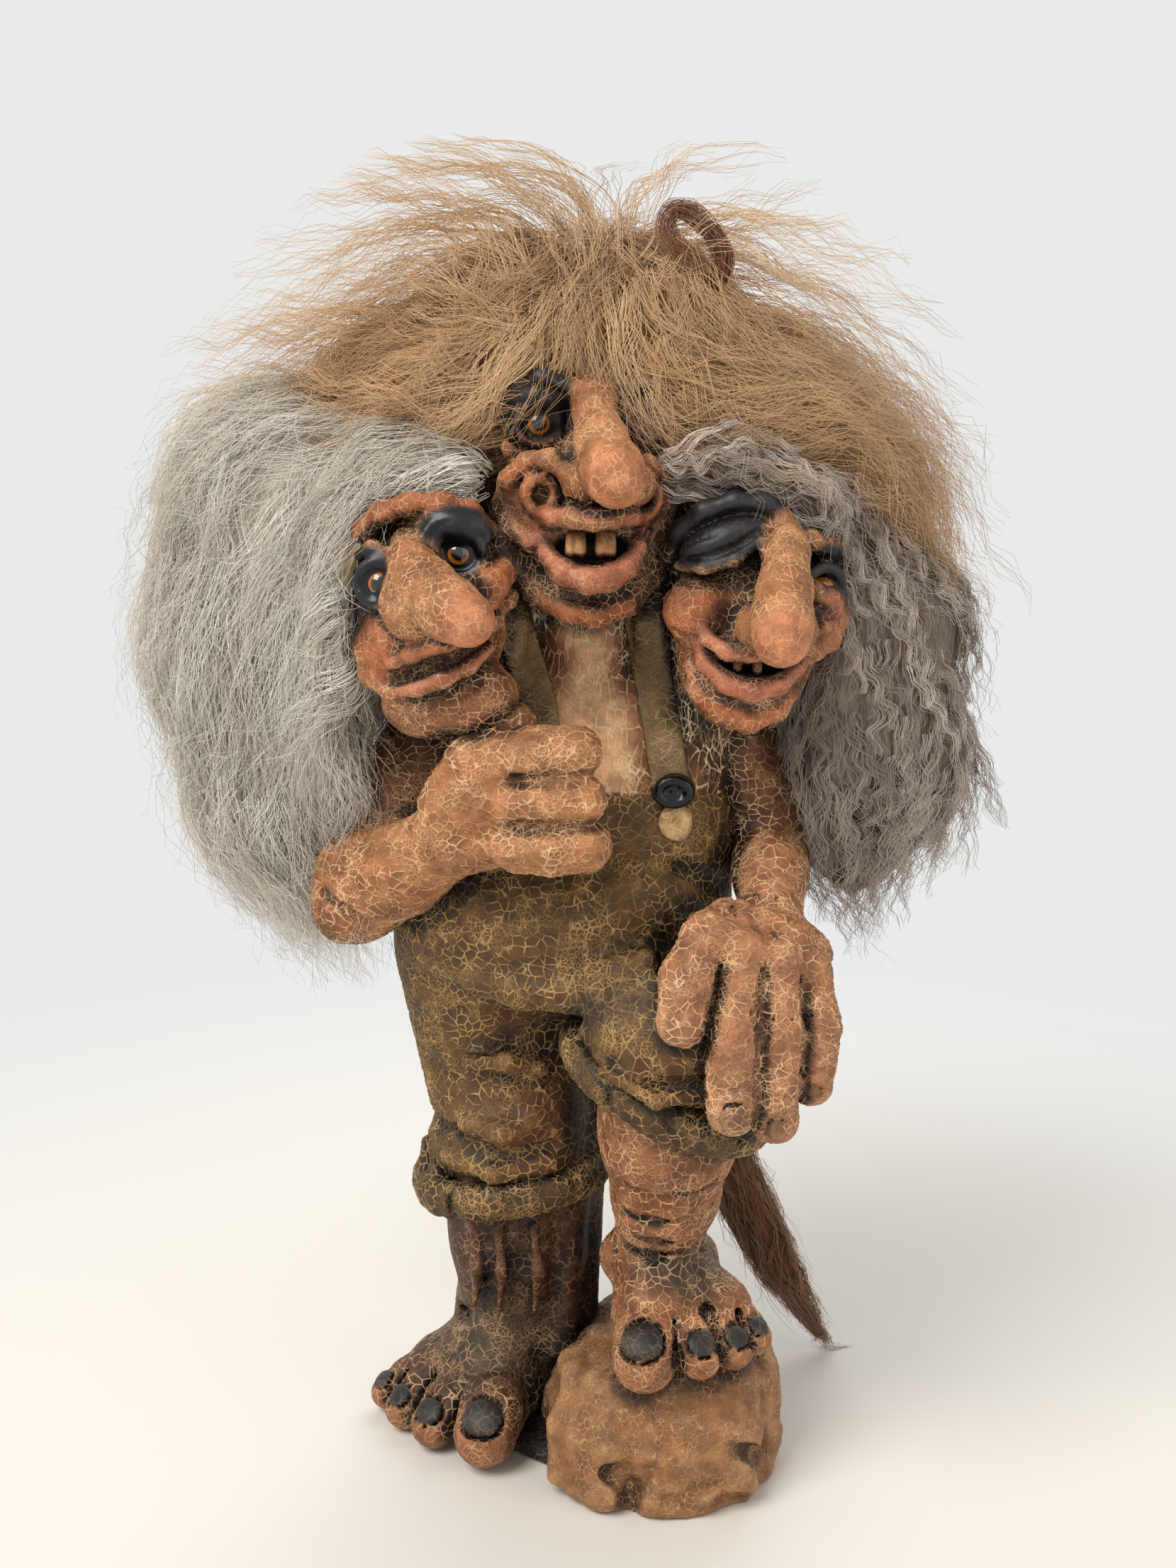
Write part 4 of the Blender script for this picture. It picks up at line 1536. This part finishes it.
# %% Fibres
def fibres(paths, ways, outs, per_lock, hang):
    # Fibres of every lock: an offset from the lock's path, drawn together at the tip, plus waves
    locks, steps, _ = paths.shape
    out = unit(outs - ways * (outs * ways).sum(axis=2, keepdims=True))
    side = np.cross(ways, out)
    share = np.linspace(0, 1, steps)[None, :, None]
    run = np.cumsum(np.linalg.norm(np.diff(paths, axis=1, prepend=paths[:, :1]), axis=2), axis=1)[:, :, None]
    paths, side, out, run = (np.repeat(part, per_lock, axis=0) for part in (paths, side, out, run))
    total = locks * per_lock
    angle = random.uniform(0, 2 * math.pi, (total, 1, 1))
    radius = hang["spread"] * np.sqrt(random.uniform(0, 1, (total, 1, 1)))
    close = 1 - (1 - hang["gather"]) * share ** 1.3
    lock_phase = np.repeat(random.uniform(0, 2 * math.pi, (locks, 1, 1)), per_lock, axis=0)
    lock_wave = np.repeat(random.uniform(0.75, 1.3, (locks, 1, 1)), per_lock, axis=0)
    phase = 2 * math.pi * run / (hang["wave_length"] * lock_wave) + lock_phase
    phase = phase + random.uniform(-1, 1, (total, 1, 1)) * hang["unruly"]
    lively = np.repeat(random.uniform(0.5, 1.3, (locks, 1, 1)), per_lock, axis=0)
    swing = hang["wave"] * (0.45 + 0.55 * share) * lively
    own = random.uniform(0, 2 * math.pi, (total, 2, 1, 1))
    pace = random.uniform(0.5, 1.3, (total, 1, 1)) * 2 * math.pi / hang["frizz_length"]
    loose = hang["frizz"] * share * random.uniform(0.1, 1.0, (total, 1, 1)) ** 2
    drift = random.normal(0, 1, (total, 2, 1, 1))[:, :, :, 0].transpose(0, 2, 1)
    drift = hang["drift"] * share ** 1.6 * drift
    across = radius * np.cos(angle) * close + swing * np.sin(phase)
    across = across + loose * np.sin(run * pace + own[:, 0]) + drift[:, :, :1]
    above = radius * np.sin(angle) * close * 0.7 + 0.5 * swing * np.cos(phase)
    above = above + loose * np.cos(run * pace * 1.3 + own[:, 1]) + 0.4 * np.abs(drift[:, :, 1:])
    return paths + side * across + out * above, side, out


def kept_inside(lines):
    # Wisps that would leave the figure's own room bend back softly, and none goes under the table
    limits = ((2, 1, 522, 15), (0, -1, 182, 13), (0, 1, 170, 12), (1, 1, 80, 11), (1, -1, 118, 12))
    for axis, side, limit, room in limits:
        over = np.maximum(side * lines[:, :, axis] - limit, 0)
        lines[:, :, axis] += side * (room * np.tanh(over / room) - over)
    lines[:, :, 2] = np.maximum(lines[:, :, 2], 0.4)
    return lines

# %% [markdown]
# Each fibre is a three-sided closed tube that thins towards its tip. Thousands of them go into one
# mesh, and its corners and faces are counted out with number arrays, since that is much quicker
# than adding curves one by one.

# %% Fibre mesh
def fibre_mesh(name, lines, side, out, thickness):
    count, steps, _ = lines.shape
    share = np.linspace(0, 1, steps)[None, :, None]
    thin_tip = 0.3
    width = thickness / 2 * (1 - (1 - thin_tip) * share ** 1.5)
    corners = []
    for k in range(3):
        angle = 2 * math.pi * k / 3
        corners.append(lines + width * (side * math.cos(angle) + out * math.sin(angle)))
    points = np.stack(corners, axis=2).reshape(-1, 3)
    base = (np.arange(count) * steps * 3)[:, None, None]
    rows = (np.arange(steps - 1) * 3)[None, :, None]
    k = np.arange(3)[None, None, :]
    a, b = base + rows + k, base + rows + (k + 1) % 3
    quads = np.stack([a, a + 3, b + 3, b], axis=3).reshape(-1, 4)
    start = base[:, 0, 0]
    caps_low = np.stack([start, start + 1, start + 2], axis=1)
    last = start + (steps - 1) * 3
    caps_high = np.stack([last + 2, last + 1, last], axis=1)
    mesh = bpy.data.meshes.new(name)
    mesh.vertices.add(len(points))
    mesh.vertices.foreach_set("co", (points * metre).ravel())
    loops = np.concatenate([quads.ravel(), caps_low.ravel(), caps_high.ravel()])
    starts = np.concatenate([np.arange(len(quads)) * 4, len(quads) * 4 + np.arange(2 * count) * 3])
    mesh.loops.add(len(loops))
    mesh.loops.foreach_set("vertex_index", loops)
    mesh.polygons.add(len(starts))
    mesh.polygons.foreach_set("loop_start", starts)
    mesh.polygons.foreach_set("use_smooth", np.ones(len(starts), dtype=bool))
    mesh.update(calc_edges=True)
    return mesh

# %% [markdown]
# Wool fibres are matt with a faint sheen. The fleece below them is a felted mat with streaks along
# the hang of the wool, so that no bare surface shows between the locks.

# %% Wool finishes
def wool_finish(name, colour):
    material, tree, shader = blank_material(name)
    set_inputs(shader, {
        "Base Color": (*srgb(*colour), 1), "Roughness": 0.62, "Specular IOR Level": 0.25,
        "Sheen Weight": 0.25, "Sheen Roughness": 0.5,
    })
    add_bumps(tree, shader, noise(tree, own_place(tree), 2600.0, 2.0).outputs[0], 0.35, 0.0002)
    return material


def fleece_finish(name, dark, light):
    material, tree, shader = blank_material(name)
    drawn = vector_maths(tree, "MULTIPLY", own_place(tree), (1, 1, 0.2))
    streak = noise(tree, drawn, 900.0, 4.0).outputs[0]
    colours = ramp(tree, streak, [(0.3, srgb(*dark)), (0.7, srgb(*light))])
    tree.links.new(colours, shader.inputs["Base Color"])
    set_inputs(shader, {"Roughness": 0.9, "Specular IOR Level": 0.1})
    add_bumps(tree, shader, streak, 1.0, 0.002)
    return material


def wool_piece(name, lines, side, out, thickness, finish, slot, node):
    piece = add_piece(name, fibre_mesh(name, lines, side, out, thickness))
    piece.data.materials.append(finish)
    dressed(piece, slot, node)
    return len(lines)

# %% [markdown]
# A wig is built from the inside out: the under-fleece first, then locks in several shades, the dark
# ones deeper, then a halo of loose fibres that catches the light.

# %% A whole wig
def wig(name, node, strokes, combs, shades, fleece, hang, halo, shave):
    wool = wool_field(strokes)
    body = add_piece(name + "_under_fleece", clay_mesh(name, strokes, 3.2))
    mesh = made_real(body)
    seeds, normals = surface(mesh)
    mesh.vertices.foreach_set("co", ((seeds - normals * shave) * metre).ravel())
    mesh.update()
    body.data.materials.append(fleece_finish(name + " under-fleece", *fleece))
    dressed(body, name, node)
    count = 0
    for i, colour in enumerate(shades):
        locks = int(hang["locks"] * scarce)
        start = seeds[random.integers(0, len(seeds), locks)] + random.normal(0, 1.5, (locks, 3))
        spans = random.uniform(*hang["length"], locks)
        roots = random.uniform(-6, -1, locks) - 3.0 * i / len(shades)
        tips = roots + random.uniform(*hang["rise"], locks)
        paths = combed_paths(wool, combs, start, spans, hang["steps"], roots, tips, hang["stray"],
                             hang["swirl"])
        lines, side, out = fibres(*paths, hang["per_lock"], hang)
        finish = wool_finish(name + " shade " + str(i + 1), colour)
        count += wool_piece(name + "_locks_" + str(i + 1), kept_inside(lines), side, out, hang["thick"],
                            finish, name, node)
    wisps = int(halo["count"] * scarce)
    high = seeds[seeds[:, 2] > np.quantile(seeds[:, 2], halo["low"])]
    start = high[random.integers(0, len(high), wisps)]
    spans = random.uniform(*halo["length"], wisps)
    lifts = halo["lift"] * random.uniform(0.1, 1.0, wisps) ** 1.3
    paths = combed_paths(wool, combs, start, spans, 14, np.full(wisps, -3.0), lifts, halo["stray"],
                         hang["swirl"], halo["hug"], 0.9)
    lines, side, out = fibres(*paths, halo["strands"], {**hang, **halo})
    finish = wool_finish(name + " halo", halo["colour"])
    count += wool_piece(name + "_halo", kept_inside(lines), side, out, 0.34, finish, name, node)
    print(name, "fibres:", count)
    return wool, seeds

# %% [markdown]
# The white wig falls from the left head in long soft curls. Its mass is a crown and a long curtain
# at the side, hollowed where the face looks out.

# %% White wig
white_mass = [
    rod((-116, -4, 406), (-128, -2, 350), 49, 47, 12), rod((-127, -3, 351), (-126, -4, 290), 46, 36, 12),
    rod((-112, -7, 408), (-60, -36, 417), 41, 18, 10), rod((-96, 11, 400), (-88, 13, 352), 38, 35, 12),
    rod((-104, -30, 372), (-98, -34, 296), 20, 18, 12), rod((-70, -46, 419), (-40, -57, 413), 16, 11, 9),
    rod((-44, -58, 416), (-70, -60, 412), 9, 9, 8), rod((-87, -54, 400), (-88, -56, 344), 11, 13, 8),
    hollow((-50, -74, 362), (33, 44, 41), 6), hollow((-46, -44, 300), (26, 40, 30), 6),
]
white_combs = [
    (-32, -60, 412, -0.8, 0.1, 0.5), (-50, -66, 420, -1, 0, 0.15), (-80, -50, 430, -1, 0, -0.2),
    (-120, -20, 455, -1, 0.1, -0.45), (-165, 0, 410, -0.35, 0, -1), (-180, 0, 340, 0, 0, -1),
    (-160, -20, 265, 0.1, 0, -1), (-115, -50, 340, -0.12, 0, -1), (-92, -60, 392, -0.6, -0.1, -0.9),
    (-80, -64, 404, -0.9, -0.1, -0.5), (-92, -50, 300, 0.12, 0, -1), (-80, 50, 380, -0.1, 0.2, -1),
    (-60, -20, 440, -0.8, 0.3, 0.1), (-100, 30, 440, -0.4, 0.6, -0.6), (-128, 0, 245, -0.1, 0, -1),
]
white_hang = dict(
    locks=132, per_lock=16, length=(38, 72), steps=8, rise=(1, 9), stray=0.32,
    swirl=0.32, thick=0.4, spread=6.5, gather=0.75, wave=1.6, wave_length=24,
    unruly=1.6, frizz=3.4, frizz_length=20, drift=2.6,
)
white_halo = dict(
    count=620, strands=2, low=0, length=(50, 120), lift=24, stray=0.55, hug=0.7,
    colour=(214, 208, 197), spread=2, wave=3.6, wave_length=28, frizz=7,
    frizz_length=28, drift=6,
)
white_wig = wig(
    "white_wool", "left_wig_wool", white_mass, white_combs,
    [(253, 250, 243), (248, 244, 235), (241, 236, 225), (231, 224, 212), (214, 206, 192)],
    ((190, 182, 168), (240, 234, 222)), white_hang, white_halo, 7)

# %% [markdown]
# The tan wig is parted over the tall head's brow and sweeps out to both sides, over the other two
# heads. Many combs are set, since its sweep changes quickly at the parting.

# %% Tan wig
tan_mass = [
    rod((-13, 0, 462), (13, 0, 463), 47, 48, 12), rod((-16, -2, 460), (-64, -5, 446), 45, 30, 12),
    rod((16, 1, 460), (66, 3, 440), 45, 35, 12), rod((66, 3, 440), (106, 5, 412), 34, 29, 12),
    rod((-10, -35, 469), (-60, -39, 447), 16, 12, 10), rod((-20, -42, 460), (-36, -42, 440), 14, 12, 10),
    rod((7, -37, 467), (36, -42, 446), 18, 14, 10), rod((32, -43, 442), (90, -37, 432), 14, 14, 10),
    rod((63, -38, 437), (108, -29, 413), 14, 13, 10), rod((-10, 20, 430), (40, 20, 425), 32, 30, 12),
    hollow((2, -76, 414), (28, 46, 31), 5),
]
tan_combs = [
    (-18, -52, 480, -0.35, -0.1, -0.9), (-30, -55, 462, -0.6, -0.1, -0.8), (-40, -52, 448, -0.8, 0, -0.6),
    (-64, -50, 450, -0.9, 0, -0.4), (-95, -30, 452, -1, 0.1, -0.25), (0, -56, 470, 0.3, -0.1, -0.95),
    (20, -54, 456, 0.65, -0.1, -0.75), (46, -54, 442, 0.9, 0, -0.42), (85, -48, 430, 0.95, 0, -0.3),
    (112, -36, 412, 0.8, 0, -0.6), (140, 0, 400, 0.5, 0, -0.9), (-40, 0, 505, -0.9, -0.3, 0.1),
    (0, 0, 514, 0.05, -1, 0.1), (-84, 0, 474, -0.9, 0.1, -0.45), (36, 0, 506, 0.9, -0.3, 0),
    (-8, -36, 502, -0.2, -0.8, -0.5), (0, 28, 508, 0, -1, 0.3), (80, 0, 478, 0.9, 0, -0.5),
    (0, 50, 480, 0, 0.5, -1), (-60, 40, 440, -0.5, 0.3, -0.9), (80, 44, 430, 0.5, 0.3, -0.9),
    (0, 55, 420, 0, 0.1, -1),
]
tan_hang = dict(
    locks=128, per_lock=18, length=(46, 92), steps=9, rise=(1, 12), stray=0.27,
    swirl=0.3, thick=0.4, spread=5.4, gather=0.5, wave=3, wave_length=36, unruly=0.8,
    frizz=3.2, frizz_length=26, drift=2.8,
)
tan_halo = dict(
    count=720, strands=4, low=0.3, length=(70, 160), lift=36, stray=0.55, hug=0.8,
    colour=(204, 164, 122), spread=3.2, wave=5, wave_length=40, frizz=7,
    frizz_length=34, drift=4,
)
tan_wig = wig(
    "tan_wool", "middle_wig_wool", tan_mass, tan_combs,
    [(240, 208, 164), (228, 193, 148), (212, 176, 132), (192, 157, 115), (162, 128, 90)],
    ((134, 104, 72), (200, 166, 124)), tan_hang, tan_halo, 7)

# %% [markdown]
# The grey wig is a short, tightly waved fleece round the right head, with a fringe over the brow.

# %% Grey wig
grey_mass = [
    rod((119, -6, 354), (123, -7, 301), 42, 39, 12), rod((122, -8, 300), (112, -5, 271), 38, 25, 12),
    rod((118, -9, 357), (92, -27, 392), 38, 25, 10), rod((93, -28, 391), (60, -44, 406), 24, 15, 8),
    rod((95, 8, 380), (86, 9, 368), 34, 33, 12), rod((106, -34, 376), (102, -36, 300), 15, 15, 10),
    rod((36, -54, 419), (56, -60, 418), 11, 11, 8), rod((56, -60, 418), (90, -54, 404), 11, 13, 8),
    rod((36, -54, 417), (37, -54, 408), 8, 6, 6), hollow((66, -78, 356), (32, 43, 43), 5),
]
grey_combs = [
    (36, -60, 420, 0.5, 0, 0.5), (56, -66, 414, 0.9, 0, -0.1), (80, -62, 410, 0.85, 0, -0.35),
    (100, -54, 396, 0.5, 0, -0.85), (125, -30, 395, 0.5, 0, -0.85), (160, 0, 350, 0.12, 0, -1),
    (160, -5, 290, -0.15, 0, -1), (106, -50, 330, 0.1, 0, -1), (100, 40, 340, 0.1, 0.2, -1),
    (80, 20, 420, 0.2, 0.6, -0.6), (113, 0, 240, 0, 0, -1), (36, -56, 405, 0.3, 0, -1),
]
grey_hang = dict(
    locks=76, per_lock=18, length=(24, 46), steps=13, rise=(1, 8), stray=0.32,
    swirl=0.27, thick=0.4, spread=3.6, gather=0.45, wave=2.5, wave_length=13,
    unruly=0.45, frizz=1.6, frizz_length=16, drift=1,
)
grey_halo = dict(
    count=340, strands=2, low=0, length=(30, 76), lift=16, stray=0.5, hug=0.7,
    colour=(176, 166, 158), spread=1, wave=2.6, wave_length=16, frizz=3.4,
    frizz_length=18, drift=2.6,
)
grey_wig = wig(
    "grey_wool", "right_wig_wool", grey_mass, grey_combs,
    [(224, 212, 202), (208, 195, 184), (190, 177, 166), (168, 154, 144), (134, 118, 108)],
    ((104, 92, 83), (164, 150, 139)), grey_hang, grey_halo, 6)

# %% [markdown]
# The tail is a tied tuft of darker wool that hangs behind the boulder to the ground.

# %% Tail
tail_mass = [
    rod((24, 40, 205), (34, 56, 172), 9, 11, 6), rod((34, 56, 172), (66, 60, 104), 12, 15, 6),
    rod((66, 60, 104), (96, 60, 46), 15, 11, 6), rod((96, 60, 46), (112, 62, 16), 10, 4, 6),
]
tail_combs = [
    (30, 50, 190, 0.2, 0.3, -1), (50, 60, 140, 0.42, 0, -0.9), (90, 60, 60, 0.42, 0, -0.9),
    (112, 62, 14, 0.6, 0, -0.6),
]
tail_hang = dict(
    locks=54, per_lock=16, length=(30, 64), steps=8, rise=(1, 5), stray=0.14,
    swirl=0.15, thick=0.34, spread=4, gather=0.4, wave=1.8, wave_length=24,
    unruly=0.8, frizz=1.8, frizz_length=20, drift=1.4,
)
tail_halo = dict(
    count=110, strands=2, low=0, length=(30, 70), lift=12, stray=0.3, hug=0.8,
    colour=(150, 112, 80), spread=1, wave=1.6, wave_length=24, frizz=2.4,
    frizz_length=20, drift=2,
)
wig(
    "tail_wool", "tail_wool", tail_mass, tail_combs, [(158, 118, 84), (132, 94, 64), (104, 70, 46)],
    ((66, 44, 28), (114, 80, 54)), tail_hang, tail_halo, 3)

# %% [markdown]
# One reddish lock on the tall head stands up and curls over, as a stray lock of real fleece does.
# Its path is set by hand, and its fibres follow the same rule as all others.

# %% Curled lock
curl_path = np.array(
    [(43.1, -26, 485.1), (50.5, -26.9, 485), (56.2, -27.8, 489.4), (57.2, -28.7, 496.8),
     (54, -29.6, 503.4), (48.8, -30.5, 509.2), (42.9, -31.4, 513.5), (37.1, -32.3, 513.3),
     (34.4, -33.2, 508.3), (36.3, -34.1, 502.3), (41.3, -35, 497.7), (46.3, -35.9, 493.8),
     (48.6, -36.8, 488.8)], float)
for _ in range(2):
    corners = np.empty((2 * len(curl_path) - 2, 3))
    corners[0::2] = 0.75 * curl_path[:-1] + 0.25 * curl_path[1:]
    corners[1::2] = 0.25 * curl_path[:-1] + 0.75 * curl_path[1:]
    curl_path = corners
curl_count = int(36 * scarce)
curl_ways = unit(np.gradient(curl_path, axis=0))
curl_outs = np.tile(np.array((0, -1, 0)), (len(curl_path), 1))
curl_hang = dict(
    spread=4.2, gather=0.8, wave=0.9, wave_length=20, unruly=3, frizz=2.6,
    frizz_length=14, drift=1.6,
)
for i, colour in enumerate([(168, 112, 76), (140, 90, 60), (112, 70, 46)]):
    lines, side, out = fibres(curl_path[None], curl_ways[None], curl_outs[None], curl_count, curl_hang)
    finish = wool_finish("reddish brown wool " + str(i + 1), colour)
    wool_piece("red_curled_lock_" + str(i + 1), lines, side, out, 0.36, finish, "tan_wool",
               "middle_wig_wool")
print("curled lock fibres:", 3 * curl_count)

# %% [markdown]
# Loose strands stand off the crown and hang below the wigs. They are few, but against a pale wall
# they draw the figure's outline. They follow a comb of their own.

# %% Loose strands
def loose_strands(name, slot, node, wig_parts, near, combs, colour, hang):
    wool, seeds = wig_parts
    roots = seeds[near(seeds)]
    count = int(hang["count"] * scarce)
    start = roots[random.integers(0, len(roots), count)]
    lifts = random.uniform(2, hang["lift"], count)
    spans = random.uniform(*hang["length"], count)
    depths = np.full(count, -3.0)
    paths = combed_paths(wool, combs, start, spans, 15, depths, lifts, 0.35, 0.35, 0.1, 1.0)
    lines, side, out = fibres(*paths, hang["strands"], hang)
    finish = wool_finish(name.replace("_", " "), colour)
    wool_piece(name, kept_inside(lines), side, out, 0.36, finish, slot, node)
    print(name, "fibres:", len(lines))


crown_combs = [
    (0, -10, 512, -0.5, -0.1, 0.8), (-40, -10, 522, -1, 0, 0.35), (-90, -8, 505, -1, 0, -0.1),
    (-140, -4, 480, -0.8, 0, -0.5), (40, -10, 516, 0.7, 0, 0.6), (80, -8, 500, 1, 0, 0),
    (120, -6, 470, 0.8, 0, -0.5), (150, 0, 440, 0.5, 0, -0.9),
]
crown_hang = dict(
    count=170, strands=6, length=(70, 170), lift=34, spread=3, gather=0.9, wave=5,
    wave_length=42, unruly=0.9, frizz=6, frizz_length=34, drift=5,
)
loose_strands(
    "tan_loose_strands", "tan_wool", "middle_wig_wool", tan_wig, lambda spot: spot[:, 2] > 470,
    crown_combs, (218, 184, 142), crown_hang)
white_tail_combs = [
    (-160, 0, 260, -0.1, 0, -1), (-110, -20, 250, 0.12, 0, -1), (-130, 0, 210, 0.05, 0, -1),
]
white_tail_hang = dict(
    count=90, strands=5, length=(50, 120), lift=8, spread=4, gather=0.7, wave=3,
    wave_length=30, unruly=1.2, frizz=5, frizz_length=28, drift=4,
)
loose_strands(
    "white_loose_strands", "white_wool", "left_wig_wool", white_wig,
    lambda spot: (spot[:, 2] < 300) & (spot[:, 1] < 20), white_tail_combs, (226, 219, 206),
    white_tail_hang)
grey_tail_combs = [
    (130, 0, 270, -0.05, 0, -1), (100, -20, 260, -0.12, 0, -1), (160, 0, 330, 0.3, 0, -0.9),
]
grey_tail_hang = dict(
    count=80, strands=6, length=(26, 62), lift=6, spread=3, gather=0.5, wave=2.8,
    wave_length=15, unruly=0.5, frizz=2.4, frizz_length=16, drift=1.6,
)
loose_strands(
    "grey_loose_strands", "grey_wool", "right_wig_wool", grey_wig,
    lambda spot: (spot[:, 2] < 320) & (spot[:, 1] < 20), grey_tail_combs, (190, 177, 166), grey_tail_hang)

# %% [markdown]
# Some solids stay as they are, hidden inside: foam, plaster and the hide under the wigs. They get
# a plain finish with a little grain, for whoever takes the figure apart.

# %% Hidden parts
def grained(name, colour, scale, spread=0.15):
    material, tree, shader = blank_material(name)
    grain = noise(tree, own_place(tree), scale, 4.0).outputs[0]
    stops = [(0, srgb(*colour) * (1 - spread)), (1, srgb(*colour) * (1 + spread))]
    tree.links.new(ramp(tree, grain, stops), shader.inputs["Base Color"])
    shader.inputs["Roughness"].default_value = 0.8
    add_bumps(tree, shader, grain, 0.4, 0.0005)
    return material


heads = ("middle", "left", "right")
hidden = {
    "foam": (grained("open foam", (226, 214, 160), 700), 
             ["body_foam"] + [side + "_head_foam" for side in heads]),
    "plaster": (grained("cast plaster", (208, 204, 194), 300), ["rock_weight"]),
    "stub": (grained("dark tail stub", (74, 50, 32), 400), ["tail_stub"]),
    "hide": (grained("sheepskin hide", (184, 162, 130), 500), [side + "_wig_backing" for side in heads]),
}
for material, nodes in hidden.values():
    for node in nodes:
        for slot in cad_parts[node].material_slots:
            slot.material = material
print("hidden solids:", sum(len(nodes) for _, nodes in hidden.values()))

# %% [markdown]
# The figure stands on a pale floor under one large soft window light from the left front, with a
# weaker fill from the right. The camera stands where the photographer stood: close, at the height
# of the heads, looking a little down.

# %% Floor, light and camera
def seen_directly(tree):
    # 1 where the camera looks, straight or by way of a shiny or clear piece
    path = tree.nodes.new("ShaderNodeLightPath")
    seen = maths(tree, "MAXIMUM", path.outputs["Is Camera Ray"], path.outputs["Is Glossy Ray"])
    return maths(tree, "MAXIMUM", seen, path.outputs["Is Transmission Ray"])


def mixed(tree, share, first, second, output):
    mix = add_node(tree, "ShaderNodeMixShader", Fac=share)
    tree.links.new(first.outputs[0], mix.inputs[1])
    tree.links.new(second.outputs[0], mix.inputs[2])
    tree.links.new(mix.outputs[0], output.inputs["Surface"])


def pale_floor(colour, far_colour, near, far):
    # A pale floor that keeps the shadow near the figure and melts into the backdrop further out
    material, tree, shader = blank_material("pale floor")
    set_inputs(shader, {
        "Base Color": (*srgb(*colour), 1), "Roughness": 0.9, "Specular IOR Level": 0.1,
    })
    away = add_node(tree, "ShaderNodeVectorMath", i0=own_place(tree))
    away.operation = "LENGTH"
    share = level(tree, away.outputs["Value"], near, far)
    share = maths(tree, "MULTIPLY", share, seen_directly(tree))
    glow = add_node(tree, "ShaderNodeEmission", Color=(*far_colour, 1), Strength=1.0)
    mixed(tree, share, shader, glow, tree.nodes["Material Output"])
    return material


backdrop = (0.82, 0.83, 0.83)
bpy.ops.mesh.primitive_plane_add(size=6, location=(0, 0, 0))
floor = bpy.context.object
floor.name = "floor"
floor.data.materials.append(pale_floor((232, 229, 224), backdrop, 0.22, 0.85))

world = bpy.data.worlds.new("soft room")
bpy.context.scene.world = world
world.use_nodes = True
tree = world.node_tree
background = tree.nodes["Background"]
set_inputs(background, {"Color": (0.86, 0.84, 0.80, 1), "Strength": 0.55})
white = add_node(tree, "ShaderNodeBackground", Color=(*backdrop, 1), Strength=1.0)
mixed(tree, seen_directly(tree), background, white, tree.nodes["World Output"])
print("floor and room are set")

# %% [markdown]
# Each lamp is a soft square that aims at the middle of the figure: the window, the room's own light
# and a cool one on the wall behind, which lights the edges of the wool.

# %% Lamps and camera
def soft_lamp(name, place, aim, size, watts, colour=(1, 1, 1)):
    light = bpy.data.lights.new(name, "AREA")
    light.size, light.energy, light.color = size, watts, colour
    lamp = bpy.data.objects.new(name, light)
    bpy.context.scene.collection.objects.link(lamp)
    lamp.location = place
    lamp.rotation_euler = (Vector(aim) - Vector(place)).to_track_quat("-Z", "Y").to_euler()
    return lamp


soft_lamp("window", (-1.0, -1.1, 1.75), (0, 0, 0.35), 1.1, 36, (1.0, 0.965, 0.905))
soft_lamp("room", (1.5, -1.2, 0.9), (0, 0, 0.25), 1.6, 6.5, (1.0, 0.94, 0.86))
soft_lamp("back wall", (0.3, 1.4, 1.2), (0, 0, 0.35), 1.6, 16, (0.96, 0.98, 1.0))

camera_data = bpy.data.cameras.new("photo camera")
camera_data.sensor_fit = "VERTICAL"
camera_data.sensor_height = 36
camera_data.lens = 37.8
camera_data.clip_start = 0.01
camera = bpy.data.objects.new("photo camera", camera_data)
bpy.context.scene.collection.objects.link(camera)
camera.location = (0.005, -0.683, 0.396)
camera.rotation_euler = (math.radians(90 - 9), 0, 0)
bpy.context.scene.camera = camera
bpy.context.scene.view_settings.view_transform = "Standard"
print("camera distance, mm:", round(-1000 * camera.location.y))
